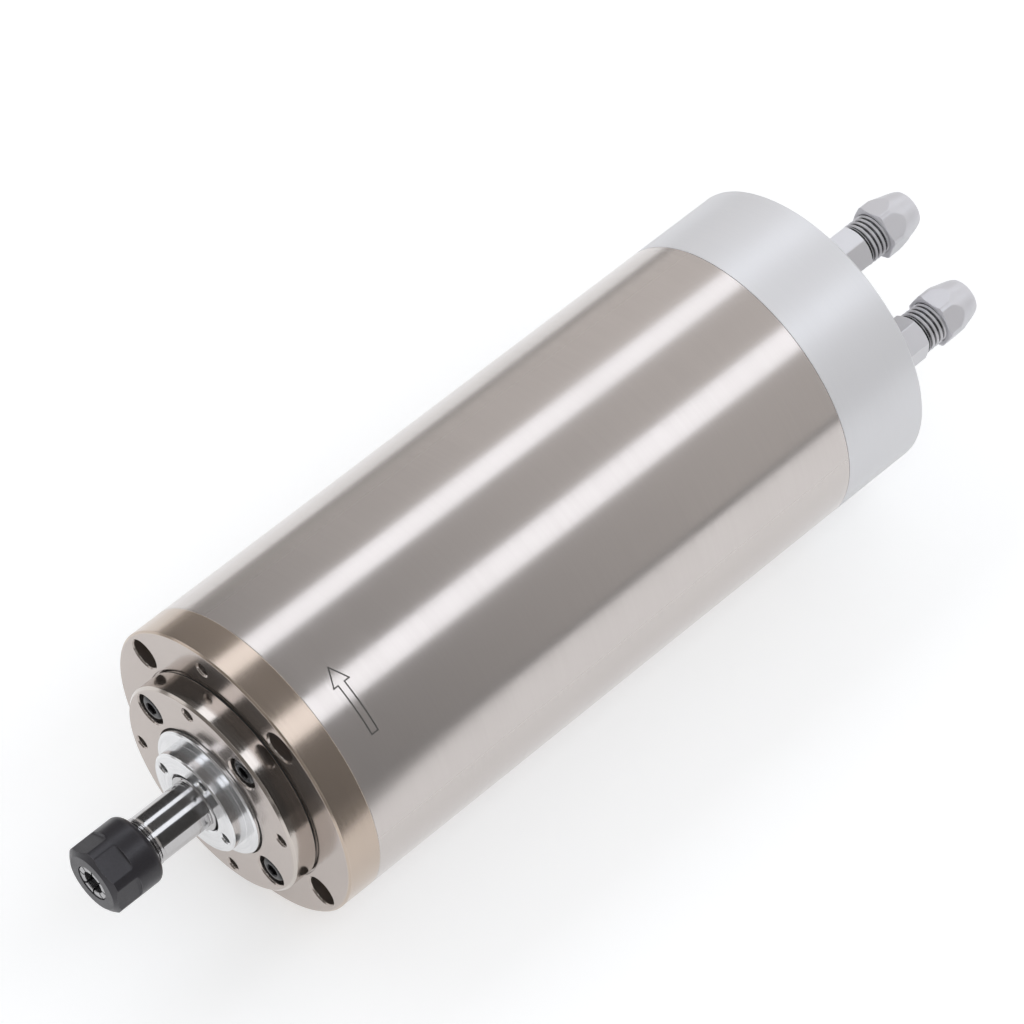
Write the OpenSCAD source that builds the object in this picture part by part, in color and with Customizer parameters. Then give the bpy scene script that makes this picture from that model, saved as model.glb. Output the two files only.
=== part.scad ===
// Water-cooled high-speed motor spindle with a collet nose.
// The spindle lies along X: nose toward -X, water and power fittings toward +X.
// Origin: centre of the front flange's front face, on the spindle axis.
// Angles round the axis are measured from +Y toward +Z. Sizes in millimetres.

/* [Body] */
// Outer diameter of flange, barrel and rear cap
body_d = 80; // [70:0.5:100]
// Length from flange face to rear face
body_len = 191.5; // [180:0.5:230]
// Wall thickness of the barrel tube
barrel_wall = 3.5; // [2.5:0.1:4.5]

/* [Front flange] */
// Visible thickness of the front flange
flange_t = 9.4; // [8:0.1:14]
// Length of the flange spigot inside the barrel
flange_spigot = 4.6; // [4:0.1:8]
// Chamfer on the outer front edge of the flange
flange_chamfer = 0.5; // [0.2:0.1:1.5]
// Diameter of the hub round the front bearings
hub_d = 44; // [42:0.5:52]
// Thickness of the inner lip behind the front bearings
hub_lip_t = 3; // [2:0.1:5]
// Diameter of the opening in that lip
hub_lip_d = 28; // [26:0.5:31]
// Number of mounting holes in the flange face
mount_holes = 4; // [4:2:6]
// Distance of the mounting hole circle from the flange's rim
mount_inset = 5.6; // [5:0.1:7]
// Diameter of a mounting hole
mount_hole_d = 8; // [5:0.1:8.5]
// Depth of a mounting hole
mount_hole_depth = 7.5; // [5:0.1:8]
// Angle of the first mounting hole
mount_angle = 31; // [20:1:40]
// Diameter of a jacking hole
jack_hole_d = 3.3; // [2.5:0.1:4.2]
// Number of jacking holes
jack_holes = 2; // [1:1:2]
// Depth of a jacking hole
jack_hole_depth = 6.5; // [4:0.1:8]
// Chamfer round the open holes
hole_chamfer = 0.4; // [0.2:0.1:0.7]

/* [Bearing cover] */
// Diameter of the bearing cover
cover_d = 58; // [56:0.5:62]
// Thickness of the bearing cover
cover_t = 7; // [6:0.1:9]
// Chamfer on the cover's front edge
cover_chamfer = 0.7; // [0.3:0.1:1.2]
// Depth of the shallow seat of the cover in the flange face
cover_seat_depth = 0.4; // [0.3:0.1:0.8]
// Radial gap round the cover in its seat
cover_seat_gap = 0.3; // [0.2:0.1:0.6]
// Depth of the shallow neck between cover and flange
cover_neck_depth = 0.5; // [0.2:0.1:1]
// Width of the shallow neck between cover and flange
cover_neck_w = 0.6; // [0.3:0.1:1.2]
// Length of the register that holds the front bearing
cover_register = 3; // [2:0.1:4]
// Diameter of the recess round the labyrinth ring
cover_recess_d = 35.6; // [35.2:0.1:38]
// Depth of the recess round the labyrinth ring
cover_recess_depth = 3.5; // [2.5:0.1:4]
// Bore of the cover behind the recess
cover_bore_d = 24; // [23.6:0.1:26]
// Number of cover screws
cover_screw_n = 4; // [3:1:6]
// Pitch circle diameter of the cover screws
cover_screw_pcd = 46.8; // [46:0.1:48]
// Diameter of a counterbore in the cover
cover_counterbore_d = 8.4; // [8:0.1:8.8]
// Depth of a counterbore in the cover
cover_counterbore_depth = 4.4; // [4.2:0.1:5]
// Pitch circle diameter of the small tapped holes
cover_tap_pcd = 50.6; // [50.2:0.1:52]
// Diameter of a small tapped hole
cover_tap_d = 3.3; // [2.5:0.1:3.6]

/* [Socket screws] */
// Thread diameter of the socket screws
screw_d = 4; // [3:0.1:4.5]
// Head diameter of the socket screws
screw_head_d = 7; // [6.5:0.1:7.4]
// Head height of the socket screws
screw_head_h = 4; // [3:0.1:4.1]
// Across-flats size of the screw socket
screw_socket_af = 3; // [2.5:0.1:3.2]
// Depth of the screw socket
screw_socket_depth = 2; // [1.2:0.1:2.4]
// Reach of a cover screw below its head
cover_screw_len = 10; // [8:0.5:12]
// Reach of a rear cap screw below its head
cap_screw_len = 36; // [34:0.5:40]

/* [Labyrinth ring] */
// Diameter of the labyrinth ring
ring_d = 34.7; // [34:0.1:34.9]
// Front face of the ring's wide step, ahead of the flange face
ring_step_x = 8.2; // [7.6:0.1:9]
// Diameter of the ring's front boss
ring_boss_d = 27.7; // [26:0.1:29]
// Front face of the boss, ahead of the flange face
ring_boss_x = 12.1; // [11.5:0.1:13]
// Edge chamfer of the ring
ring_chamfer = 0.4; // [0.2:0.1:0.8]
// Diameter of the ring's sleeve that reaches the bearing
ring_sleeve_d = 23.2; // [21:0.1:23.4]
// Front opening of the ring round the shaft
ring_mouth_d = 16; // [15:0.1:16.6]
// Depth of the front opening
ring_mouth_depth = 2.6; // [1.5:0.1:2.8]
// Number of spanner holes
ring_holes = 4; // [2:1:6]
// Pitch circle diameter of the spanner holes
ring_hole_pcd = 22; // [21.6:0.1:23]
// Diameter of a spanner hole
ring_hole_d = 2.8; // [2:0.1:3]
// Depth of a spanner hole
ring_hole_depth = 3; // [2:0.1:3.5]
// Angle of the first spanner hole
ring_hole_angle = 17.7; // [0:0.1:45]

/* [Shaft nose] */
// Distance of the shaft's front end from the flange face
nose_reach = 38.6; // [37:0.1:40]
// Major diameter of the nut thread
nose_thread_d = 12.9; // [12.6:0.1:13.6]
// Length of the nut thread
nose_thread_len = 11.6; // [10.5:0.1:13]
// Diameter of the plain nose behind the thread
nose_d = 12.7; // [12.4:0.1:12.8]
// Across-flats size of the wrench flats
flat_af = 12.4; // [11.8:0.1:12.4]
// Length of the wrench flats
flat_len = 13.6; // [8:0.1:14.4]
// Angle of the first wrench flat
flat_angle = 166; // [0:1:180]
// Diameter of the blind bore behind the collet seat
shaft_bore_d = 6.8; // [6.4:0.1:7]
// Depth of the blind bore from the shaft's front end
shaft_bore_depth = 34; // [30:1:40]

/* [Collet nut] */
// Distance of the nut's front face ahead of the shaft's front end
nut_over = 4.8; // [4.4:0.1:5.4]
// Length of the nut
nut_len = 14.5; // [13:0.1:15]
// Outer diameter of the nut's round collar
nut_d = 18.4; // [18:0.1:19.4]
// Across-flats size of the nut's hexagon
nut_af = 17; // [16:0.1:17.4]
// Length of the hexagon from the front face
nut_hex_len = 7.4; // [6:0.1:8]
// Angle of the first hexagon corner
nut_corner_angle = 25; // [0:1:60]
// Diameter of the nut's flat front face
nut_face_d = 15; // [14:0.1:16]
// Length of the cone between front face and hexagon
nut_cone_len = 1.1; // [0.6:0.1:1.4]
// Rounding of the collar's rear edge
nut_edge = 1.8; // [0.4:0.1:2.2]
// Front opening of the nut round the collet
nut_mouth_d = 9.5; // [9.3:0.1:9.8]

/* [Collet] */
// Length of the collet
collet_len = 18; // [17:0.1:18.5]
// Largest diameter of the collet
collet_d = 11.5; // [11.3:0.1:11.6]
// Bore of the collet for the tool shank
collet_bore_d = 6; // [3:0.1:6.2]
// Diameter of the collet's front face
collet_face_d = 9; // [8.6:0.1:9.2]
// Set-back of the collet face behind the nut face
collet_setback = 0.2; // [0.1:0.1:0.5]
// Length of the collet's front cone
collet_cone_len = 1.5; // [1.3:0.1:1.6]
// Diameter at the bottom of the collet's groove
collet_groove_d = 9.8; // [9.4:0.1:10]
// Length of the collet's groove
collet_groove_len = 1.4; // [1.2:0.1:1.5]
// Half angle of the long taper
collet_taper = 8; // [7.5:0.1:8.5]
// Number of slits from each end
collet_slits = 8; // [4:1:8]
// Width of a slit
collet_slit_w = 0.5; // [0.3:0.05:0.6]
// Length of a slit
collet_slit_len = 13.5; // [10:0.5:14]

/* [Front bearings] */
// Bore of the front bearings
front_bore_d = 17; // [16.8:0.1:17.2]
// Outer diameter of the front bearings
front_outer_d = 35; // [34.6:0.1:35.4]
// Width of one front bearing
front_width = 10; // [9:0.1:10.5]
// Ball diameter of the front bearings
front_ball_d = 4.76; // [4.4:0.02:4.9]
// Number of balls in a front bearing
front_balls = 12; // [8:1:12]
// Length of the spacers between the front bearings
spacer_len = 4; // [2:0.1:6]

/* [Rear bearing] */
// Bore of the rear bearing
rear_bore_d = 15; // [14.8:0.1:15.2]
// Outer diameter of the rear bearing
rear_outer_d = 32; // [31.6:0.1:32.4]
// Width of the rear bearing
rear_width = 9; // [8:0.1:9.5]
// Ball diameter of the rear bearing
rear_ball_d = 4.4; // [4:0.05:4.6]
// Number of balls in the rear bearing
rear_balls = 11; // [8:1:11]
// Height of the preload spring behind the rear bearing
spring_h = 2.5; // [2:0.1:3]
// Thickness of the preload spring's sheet
spring_t = 1; // [0.6:0.05:1.2]
// Diameter of the rear locknut
locknut_d = 22; // [20:0.1:23]
// Width of the rear locknut
locknut_w = 6; // [5:0.1:7]
// Number of slots in the rear locknut
locknut_slots = 4; // [4:1:6]
// Width of a locknut slot
locknut_slot_w = 4; // [3:0.1:5]
// Depth of a locknut slot
locknut_slot_depth = 1.2; // [0.8:0.1:1.6]

/* [Motor] */
// Length of the rotor and stator stacks
stack_len = 76; // [60:1:84]
// Radial thickness of the stator's back iron
yoke_t = 4.5; // [3:0.1:5]
// Radial air gap between rotor and stator
air_gap = 0.4; // [0.3:0.05:0.8]
// Radial thickness of the rotor stack round the shaft
rotor_wall = 6.6; // [5.6:0.1:7]
// Number of rotor bars
rotor_bars = 18; // [12:1:22]
// Diameter of a rotor bar
rotor_bar_d = 2.6; // [2:0.1:3]
// Length of a rotor end ring
end_ring_len = 6; // [4:0.1:8]
// Number of stator slots
slots = 24; // [12:1:24]
// Radial depth of a stator slot
slot_depth = 7.5; // [6:0.1:8.5]
// Width of a stator slot
slot_w = 2.6; // [2:0.1:2.9]
// Width of the slot's opening at the bore
slot_mouth = 1.2; // [0.8:0.1:1.6]
// Radial depth of the slot's opening
slot_lip = 1.2; // [0.8:0.1:1.6]
// Length of a winding end turn
end_turn_len = 11; // [8:0.1:12]

/* [Cooling jacket] */
// Wall thickness of the cooling jacket
jacket_wall = 7.5; // [7:0.1:8]
// Number of water channels round the jacket
channels = 9; // [5:1:11]
// Width of a water channel
channel_w = 7; // [5:0.1:8]
// Depth of a water channel
channel_depth = 2.6; // [1.5:0.1:3]
// Plain length at each end of the jacket
channel_margin = 10; // [9:0.5:14]
// Diameter of the cord of the sealing rings
o_ring_d = 1.5; // [1.2:0.1:1.6]

/* [Rear cap] */
// Visible length of the rear cap
cap_len = 26.1; // [24:0.1:30]
// Length of the cap's spigot inside the barrel
cap_spigot = 8; // [7:0.1:10]
// Chamfer on the rear edge of the cap
cap_chamfer = 0.6; // [0.3:0.1:1.5]
// Diameter of the hub round the rear bearing
cap_hub_d = 40; // [38:0.1:42]
// Length of that hub ahead of the spigot
cap_hub_len = 11.2; // [10:0.1:13]
// Set-back of the rear bearing inside the hub
rear_inset = 4; // [3:0.1:5]
// Diameter of the pocket round the shaft's rear end
tail_pocket_d = 25; // [24.6:0.1:26]
// Length of the shaft behind the locknut
tail_len = 3; // [2:0.1:4]
// Distance of the cap screw circle from the cap's rim
cap_screw_inset = 7.7; // [7.4:0.1:8]
// Number of cap screws
cap_screw_n = 4; // [3:1:4]
// Angle of the first cap screw
cap_screw_angle = 37.8; // [36:0.1:40]
// Depth of a counterbore in the cap
cap_counterbore_depth = 6; // [5:0.1:8]

/* [Water fittings] */
// Distance of a fitting's axis from the cap's rim
fitting_inset = 9; // [8.6:0.1:9.5]
// Angle of the inlet fitting
inlet_angle = 103.1; // [100:0.1:106]
// Angle of the outlet fitting
outlet_angle = 152.6; // [150:0.1:155]
// Diameter of a fitting's thread in the cap
port_thread_d = 9.6; // [9:0.1:9.8]
// Length of that thread
port_thread_len = 9; // [7:0.1:10]
// Diameter of a water passage
water_bore_d = 4; // [3:0.1:4.2]
// Thickness of a sealing washer
washer_t = 0.8; // [0.6:0.1:1.2]
// Diameter of a sealing washer
washer_d = 11.4; // [10.8:0.1:12]
// Across-flats size of a fitting's hexagon
fitting_af = 11; // [10.6:0.1:11.1]
// Length of a fitting's hexagon
fitting_hex_len = 7.4; // [6:0.1:9]
// Angle of the inlet fitting's hexagon corners
inlet_hex_angle = 58; // [32:1:60]
// Angle of the outlet fitting's hexagon corners
outlet_hex_angle = 35; // [30:1:50]
// Diameter of the hose nut's thread
fitting_thread_d = 11.2; // [10.8:0.1:11.4]
// Length of the hose nut's thread
fitting_thread_len = 11.8; // [10:0.1:12.6]
// Gap between fitting hexagon and hose nut
hose_nut_gap = 6; // [5:0.1:7]
// Across-flats size of a hose nut
hose_nut_af = 13; // [12.9:0.1:14]
// Length of a hose nut's hexagon
hose_nut_hex_len = 7.6; // [7:0.1:9]
// Diameter to which a hose nut's corners are turned
hose_nut_corner_d = 14.4; // [14:0.1:15]
// Length of the cone at the rear of a hose nut's hexagon
hose_nut_cone_len = 3.4; // [1:0.1:4]
// Angle of the inlet hose nut's corners
inlet_nut_angle = 43; // [0:1:60]
// Angle of the outlet hose nut's corners
outlet_nut_angle = 53; // [0:1:60]
// Length of a hose nut's tapered nose
hose_nut_nose_len = 4.3; // [3:0.1:6]
// Diameter at the start of that nose
hose_nut_nose_d = 11.9; // [11.4:0.1:12.4]
// Diameter at the end of that nose
hose_nut_tip_d = 10.2; // [9.6:0.1:10.8]
// Rounding at the end of that nose
hose_nut_round = 0.8; // [0.4:0.1:1]
// Diameter of the hose that the nut lets through
hose_d = 8; // [7.6:0.1:8.2]
// Diameter of the stem that the hose is pushed on
stem_d = 5.6; // [5.2:0.1:5.8]

/* [Power connector] */
// Distance of the connector's axis from the cap's rim
connector_inset = 19.6; // [19:0.1:20]
// Angle of the connector
connector_angle = 262.8; // [255:0.1:270]
// Thread diameter of the connector shell
connector_d = 15.8; // [15:0.1:16]
// Distance of the shell's end from the rear face
connector_reach = 17.5; // [16:0.1:20]
// Diameter of the shell's flange
connector_flange_d = 18; // [17:0.1:18.2]
// Thickness of the shell's flange
connector_flange_t = 2.5; // [2:0.1:3]
// Thickness of the gasket under the flange
connector_gasket_t = 0.8; // [0.5:0.1:1.2]
// Wall thickness of the shell
connector_wall = 1.3; // [1:0.1:1.6]
// Depth of the shell behind the rear face
connector_depth = 12; // [8:0.1:14]
// Diameter of the wire passage into the motor
wire_hole_d = 8; // [6:0.1:8.4]
// Distance of the wire passage from the cap's rim
wire_hole_inset = 15; // [14.4:0.1:15.4]
// Number of contact pins
pin_n = 4; // [3:1:5]
// Diameter of a contact pin
pin_d = 1.8; // [1.2:0.1:2]
// Pitch circle diameter of the contact pins
pin_pcd = 7; // [6:0.1:7.4]
// Height of a contact pin above the insert
pin_h = 6; // [4:0.1:7]
// Set-back of the pin tips inside the shell's rim
pin_recess = 4.5; // [1:0.1:5]

/* [Fits] */
// Radial clearance between fixed parts that slide together
seat_gap = 0.02; // [0.01:0.01:0.05]
// Radial clearance between parts that turn or screw on each other
turn_gap = 0.05; // [0.03:0.01:0.1]

/* [Hidden] */
$fn = 96;
eps = 0.01;
axis_r = body_d / 2;
barrel_r = axis_r - barrel_wall;
barrel_x0 = flange_t;
barrel_x1 = body_len - cap_len;
jacket_x0 = flange_t + flange_spigot;
jacket_x1 = barrel_x1 - cap_spigot;
spigot_r = barrel_r - seat_gap;
jacket_r = barrel_r - jacket_wall;
mount_pcd = body_d - 2 * mount_inset;
cap_screw_pcd = body_d - 2 * cap_screw_inset;
fitting_r = axis_r - fitting_inset;
connector_r = axis_r - connector_inset;
wire_hole_r = axis_r - wire_hole_inset;
stator_bore_r = jacket_r - yoke_t - slot_depth;
rotor_r = stator_bore_r - air_gap;
rotor_bore_r = rotor_r - rotor_wall;
ring_x1 = cover_register;
front_a_x = cover_register;
front_b_x = front_a_x + front_width + spacer_len;
front_end_x = front_b_x + front_width;
hub_x1 = front_end_x + hub_lip_t;
stack_x0 = hub_x1 + end_turn_len + hub_lip_t;
stack_x1 = stack_x0 + stack_len;
cap_hub_x = jacket_x1 - cap_hub_len;
rear_x = cap_hub_x + rear_inset;
rear_end_x = rear_x + rear_width;
spring_x1 = rear_end_x + spring_h;
tail_x = rear_end_x + locknut_w + tail_len;
tail_pocket_x = tail_x + tail_len;
full_turn = 360;
half_turn = full_turn / 2;
quarter_turn = full_turn / 4;
hex_sides = 6;
hex_ratio = 1 / cos(half_turn / hex_sides);
nose_x = -nose_reach;
nose_thread_x1 = nose_x + nose_thread_len;
ring_seat_x = -ring_boss_x + ring_mouth_depth;
seat_x0 = ring_seat_x + seat_gap;
front_seat_r = front_bore_d / 2;
rear_seat_r = rear_bore_d / 2;
shoulder_step = 2.5;
shoulder_w = 4;
edge = 0.4;
flat_x0 = nose_thread_x1 + 2 * edge;
hex_bevel = 0.15;
port_floor = 1;
link_step = 0.4;
shaft_relief = 1;
land_ratio = 0.3;
cage_ratio = 0.2;
cage_margin = 0.15;
screw_tip_gap = 1;
drill_over = 1;
head_gap = 0.5;
stem_lead = 1;
end_turn_round = 1;
bar_cover = 0.8;
winding_gap = 2 * turn_gap;
nut_edge_steps = 3;
jaw_gap = 0.1;
jaw_bevel = 0.2;
nut_x0 = nose_x - nut_over;
nut_x1 = nut_x0 + nut_len;
collet_x0 = nut_x0 + collet_setback;
collet_x1 = collet_x0 + collet_len;
collet_cone_x = collet_x0 + collet_cone_len;
collet_rim_x = collet_cone_x + collet_groove_len;
collet_rim_w = 0.5;
collet_taper_x = collet_rim_x + collet_rim_w;
collet_lip = 0.4;
collet_cone_d = collet_groove_d + 2 * collet_lip;
collet_small_r = collet_d / 2 - (collet_x1 - collet_taper_x) * tan(collet_taper);
nut_grip_d = collet_groove_d + 2 * jaw_bevel;
cavity_gap = 0.3;
nut_cavity_d = collet_d + 2 * cavity_gap;
nut_cavity_x = nose_x - 2 * cavity_gap;
tap_depth = 1.5;
end_turn_r0 = stator_bore_r + slot_lip + edge;
end_turn_r1 = end_turn_r0 + slot_depth + edge;
bar_r = rotor_r - rotor_bar_d / 2 - bar_cover;
groove_x_front = flange_t + flange_spigot / 2;
groove_x_rear = barrel_x1 - cap_spigot / 2;
groove_r = barrel_r - o_ring_d;
groove_side_gap = 0.15;
groove_w = o_ring_d + 2 * groove_side_gap;
cap_screw_x = body_len - cap_counterbore_depth;
fitting_x0 = body_len + washer_t;
fitting_x1 = fitting_x0 + fitting_hex_len;
fitting_thread_x1 = fitting_x1 + fitting_thread_len;
hose_nut_x0 = fitting_x1 + hose_nut_gap;
hose_nut_x1 = hose_nut_x0 + hose_nut_hex_len;
hose_nut_x2 = hose_nut_x1 + hose_nut_nose_len;
connector_x0 = body_len + connector_gasket_t;
connector_x1 = body_len + connector_reach;
connector_r1 = connector_d / 2;
connector_r0 = connector_r1 - connector_wall;
connector_pocket_x = body_len - connector_depth;
insert_x0 = connector_pocket_x;
insert_x1 = connector_x1 - pin_h - pin_recess;

// Helpers

// Puts drawings made along +Z onto the spindle axis, starting at x.
module axial(x) {
    translate([x, 0, 0]) rotate([quarter_turn, 0, quarter_turn]) children();
}

// Moves to radius r and angle a with drawings made along X.
module at_place(r, a) {
    translate([0, r * cos(a), r * sin(a)]) children();
}

// Turns a profile given as [x, radius] pairs about the spindle axis.
module turned(profile) {
    rotate([quarter_turn, 0, quarter_turn])
        rotate_extrude() polygon([for (p = profile) [p[1], p[0]]]);
}

// Plain disc from x0 to x1.
module disc(r, x0, x1) {
    axial(x0) cylinder(r = r, h = x1 - x0);
}

// Plain ring from x0 to x1.
module ring(r1, r0, x0, x1) {
    turned([[x0, r0], [x0, r1], [x1, r1], [x1, r0]]);
}

// Hole at one place with a chamfered mouth at x0, deep toward +X.
module mouth_hole(d, x0, depth) {
    axial(x0 - eps) cylinder(d = d, h = depth + eps);
    axial(x0) cylinder(d1 = d + 2 * hole_chamfer, d2 = d, h = hole_chamfer);
}

// Socket head screw whose head sits on x and points its shank along +X.
module socket_screw(x, reach) {
    difference() {
        union() {
            axial(x - screw_head_h) cylinder(d = screw_head_d, h = screw_head_h);
            axial(x) cylinder(d = screw_d, h = reach);
        }
        axial(x - screw_head_h - eps)
            cylinder(d = screw_socket_af * hex_ratio, h = screw_socket_depth + eps, $fn = hex_sides);
    }
}

// Repeats children, which are drawn along X, round the spindle axis.
module round_axis(n, r, a) {
    for (i = [0 : n - 1]) at_place(r, a + full_turn * i / n) children();
}

// Ball race ring between radii r0 and r1 with a groove round the pitch circle.
module race(r1, r0, pitch_r, ball_d, x, w) {
    difference() {
        ring(r1, r0, x, x + w);
        rotate([quarter_turn, 0, quarter_turn]) rotate_extrude()
            translate([pitch_r, x + w / 2]) circle(d = ball_d + 2 * turn_gap);
    }
}

function pitch_r(bore, outer) = (bore + outer) / 4;
function land_in(bore, outer, ball) = pitch_r(bore, outer) - ball * land_ratio;
function land_out(bore, outer, ball) = pitch_r(bore, outer) + ball * land_ratio;

module outer_race(bore, outer, ball, x, w) {
    race(outer / 2, land_out(bore, outer, ball), pitch_r(bore, outer), ball, x, w);
}

module inner_race(bore, outer, ball, x, w) {
    race(land_in(bore, outer, ball), bore / 2, pitch_r(bore, outer), ball, x, w);
}

module ball_set(bore, outer, ball, n, x, w) {
    round_axis(n, pitch_r(bore, outer), 0) translate([x + w / 2, 0, 0]) sphere(d = ball);
}

module ball_cage(bore, outer, ball, n, x, w) {
    mid = pitch_r(bore, outer);
    difference() {
        ring(
            mid + ball * cage_ratio, mid - ball * cage_ratio,
            x + w * cage_margin, x + w - w * cage_margin
        );
        for (i = [0 : n - 1])
            rotate([full_turn * i / n, 0, 0]) translate([x + w / 2, mid, 0])
                rotate([quarter_turn, 0, 0]) cylinder(d = ball + 2 * turn_gap, h = ball, center = true);
    }
}

// Front end

// Front flange with spigot, bearing hub, mounting and jacking holes.
module front_flange() color([0.66, 0.61, 0.56]) difference() {
    turned([
        [cover_seat_depth, front_outer_d / 2 + seat_gap],
        [cover_seat_depth, cover_d / 2 + cover_seat_gap], [0, cover_d / 2 + cover_seat_gap],
        [0, axis_r - flange_chamfer], [flange_chamfer, axis_r], [flange_t, axis_r], [flange_t, spigot_r],
        [jacket_x0, spigot_r], [jacket_x0, hub_d / 2], [hub_x1, hub_d / 2],
        [hub_x1, hub_lip_d / 2], [front_end_x, hub_lip_d / 2],
        [front_end_x, front_outer_d / 2 + seat_gap]
    ]);
    round_axis(mount_holes, mount_pcd / 2, mount_angle)
        mouth_hole(mount_hole_d, 0, mount_hole_depth);
    round_axis(jack_holes, mount_pcd / 2, mount_angle + half_turn / mount_holes)
        mouth_hole(jack_hole_d, 0, jack_hole_depth);
    round_axis(cover_screw_n, cover_screw_pcd / 2, mount_angle)
        mouth_hole(screw_d + 2 * turn_gap, cover_seat_depth, cover_screw_len - cover_seat_depth);
    ring(axis_r, groove_r, groove_x_front - groove_w / 2, groove_x_front + groove_w / 2);
}

// Bearing cover with screw counterbores, tapped holes and labyrinth recess.
module bearing_cover() color([0.68, 0.63, 0.58]) difference() {
    turned([
        [-cover_t, cover_recess_d / 2], [-cover_t, cover_d / 2 - cover_chamfer],
        [-cover_t + cover_chamfer, cover_d / 2], [-cover_neck_w, cover_d / 2],
        [-cover_neck_w, cover_d / 2 - cover_neck_depth],
        [cover_seat_depth, cover_d / 2 - cover_neck_depth],
        [cover_seat_depth, front_outer_d / 2 - seat_gap],
        [cover_register, front_outer_d / 2 - seat_gap],
        [cover_register, land_out(front_bore_d, front_outer_d, front_ball_d)],
        [0, land_out(front_bore_d, front_outer_d, front_ball_d)], [0, cover_bore_d / 2],
        [-cover_t + cover_recess_depth, cover_bore_d / 2],
        [-cover_t + cover_recess_depth, cover_recess_d / 2]
    ]);
    round_axis(cover_screw_n, cover_screw_pcd / 2, mount_angle) {
        mouth_hole(cover_counterbore_d, -cover_t, cover_counterbore_depth);
        mouth_hole(screw_d + 2 * turn_gap, -cover_t, cover_t + cover_register);
    }
    round_axis(cover_screw_n, cover_tap_pcd / 2, mount_angle + half_turn / cover_screw_n)
        mouth_hole(cover_tap_d, -cover_t, cover_t - tap_depth);
}

// Four socket screws that hold the bearing cover.
module cover_screws() color([0.2, 0.2, 0.22])
    round_axis(cover_screw_n, cover_screw_pcd / 2, mount_angle)
        socket_screw(-cover_t + cover_counterbore_depth, cover_screw_len - screw_tip_gap);

// Labyrinth ring that screws onto the shaft and clamps the front bearings.
module labyrinth_ring() color([0.82, 0.82, 0.83]) difference() {
    turned([
        [-ring_boss_x, ring_mouth_d / 2 + ring_chamfer], [-ring_boss_x, ring_boss_d / 2 - ring_chamfer],
        [-ring_boss_x + ring_chamfer, ring_boss_d / 2], [-ring_step_x, ring_boss_d / 2],
        [-ring_step_x, ring_d / 2 - ring_chamfer], [-ring_step_x + ring_chamfer, ring_d / 2],
        [-cover_t + cover_recess_depth - edge, ring_d / 2],
        [-cover_t + cover_recess_depth - edge, ring_sleeve_d / 2], [ring_x1, ring_sleeve_d / 2],
        [ring_x1, front_seat_r + turn_gap], [ring_seat_x, front_seat_r + turn_gap],
        [ring_seat_x, ring_mouth_d / 2], [-ring_boss_x + ring_chamfer, ring_mouth_d / 2]
    ]);
    round_axis(ring_holes, ring_hole_pcd / 2, ring_hole_angle)
        mouth_hole(ring_hole_d, -ring_boss_x, ring_hole_depth);
}

// Shaft from the collet nose to the rear locknut thread.
module shaft() color([0.78, 0.78, 0.79]) difference() {
    turned([
        [nose_x, 0], [nose_x, nose_thread_d / 2 - edge], [nose_x + edge, nose_thread_d / 2],
        [nose_thread_x1, nose_thread_d / 2], [nose_thread_x1 + edge, nose_d / 2],
        [seat_x0, nose_d / 2], [seat_x0, front_seat_r - seat_gap],
        [front_end_x, front_seat_r - seat_gap], [front_end_x, front_seat_r + shoulder_step],
        [front_end_x + shoulder_w, front_seat_r + shoulder_step],
        [front_end_x + shoulder_w, rotor_bore_r - shaft_relief],
        [stack_x0 - end_ring_len, rotor_bore_r - shaft_relief],
        [stack_x0 - end_ring_len, rotor_bore_r - seat_gap],
        [stack_x1 + end_ring_len, rotor_bore_r - seat_gap],
        [stack_x1 + end_ring_len, rear_seat_r + shoulder_step],
        [rear_x, rear_seat_r + shoulder_step], [rear_x, rear_seat_r - seat_gap],
        [tail_x - edge, rear_seat_r - seat_gap], [tail_x, rear_seat_r - edge], [tail_x, 0]
    ]);
    turned([
        [nose_x - eps, 0], [nose_x - eps, collet_seat_r(nose_x - eps)],
        [collet_x1, collet_seat_r(collet_x1)], [collet_x1, 0]
    ]);
    disc(shaft_bore_d / 2, collet_x1 - eps, nose_x + shaft_bore_depth);
    for (side = [0, 1])
        rotate([flat_angle + half_turn * side, 0, 0])
            translate([flat_x0, flat_af / 2, -nose_d / 2])
                cube([flat_len, nose_d, nose_d]);
}

function collet_seat_r(x) = collet_d / 2 + turn_gap - (x - collet_taper_x) * tan(collet_taper);

// Slit spring collet with cone, groove and long taper.
module collet() color([0.85, 0.85, 0.86]) difference() {
    turned([
        [collet_x0, collet_bore_d / 2 + edge / 2], [collet_x0, collet_face_d / 2],
        [collet_cone_x, collet_cone_d / 2], [collet_cone_x, collet_groove_d / 2],
        [collet_rim_x, collet_groove_d / 2], [collet_rim_x, collet_d / 2],
        [collet_taper_x, collet_d / 2], [collet_x1, collet_small_r], [collet_x1, collet_bore_d / 2],
        [collet_x0 + edge / 2, collet_bore_d / 2]
    ]);
    for (i = [0 : collet_slits - 1]) {
        rotate([full_turn * i / collet_slits, 0, 0])
            translate([collet_x0 - eps, 0, -collet_slit_w / 2])
                cube([collet_slit_len, collet_d, collet_slit_w]);
        rotate([full_turn * (i + 0.5) / collet_slits, 0, 0])
            translate([collet_x1 - collet_slit_len, 0, -collet_slit_w / 2])
                cube([collet_slit_len + eps, collet_d, collet_slit_w]);
    }
}

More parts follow.
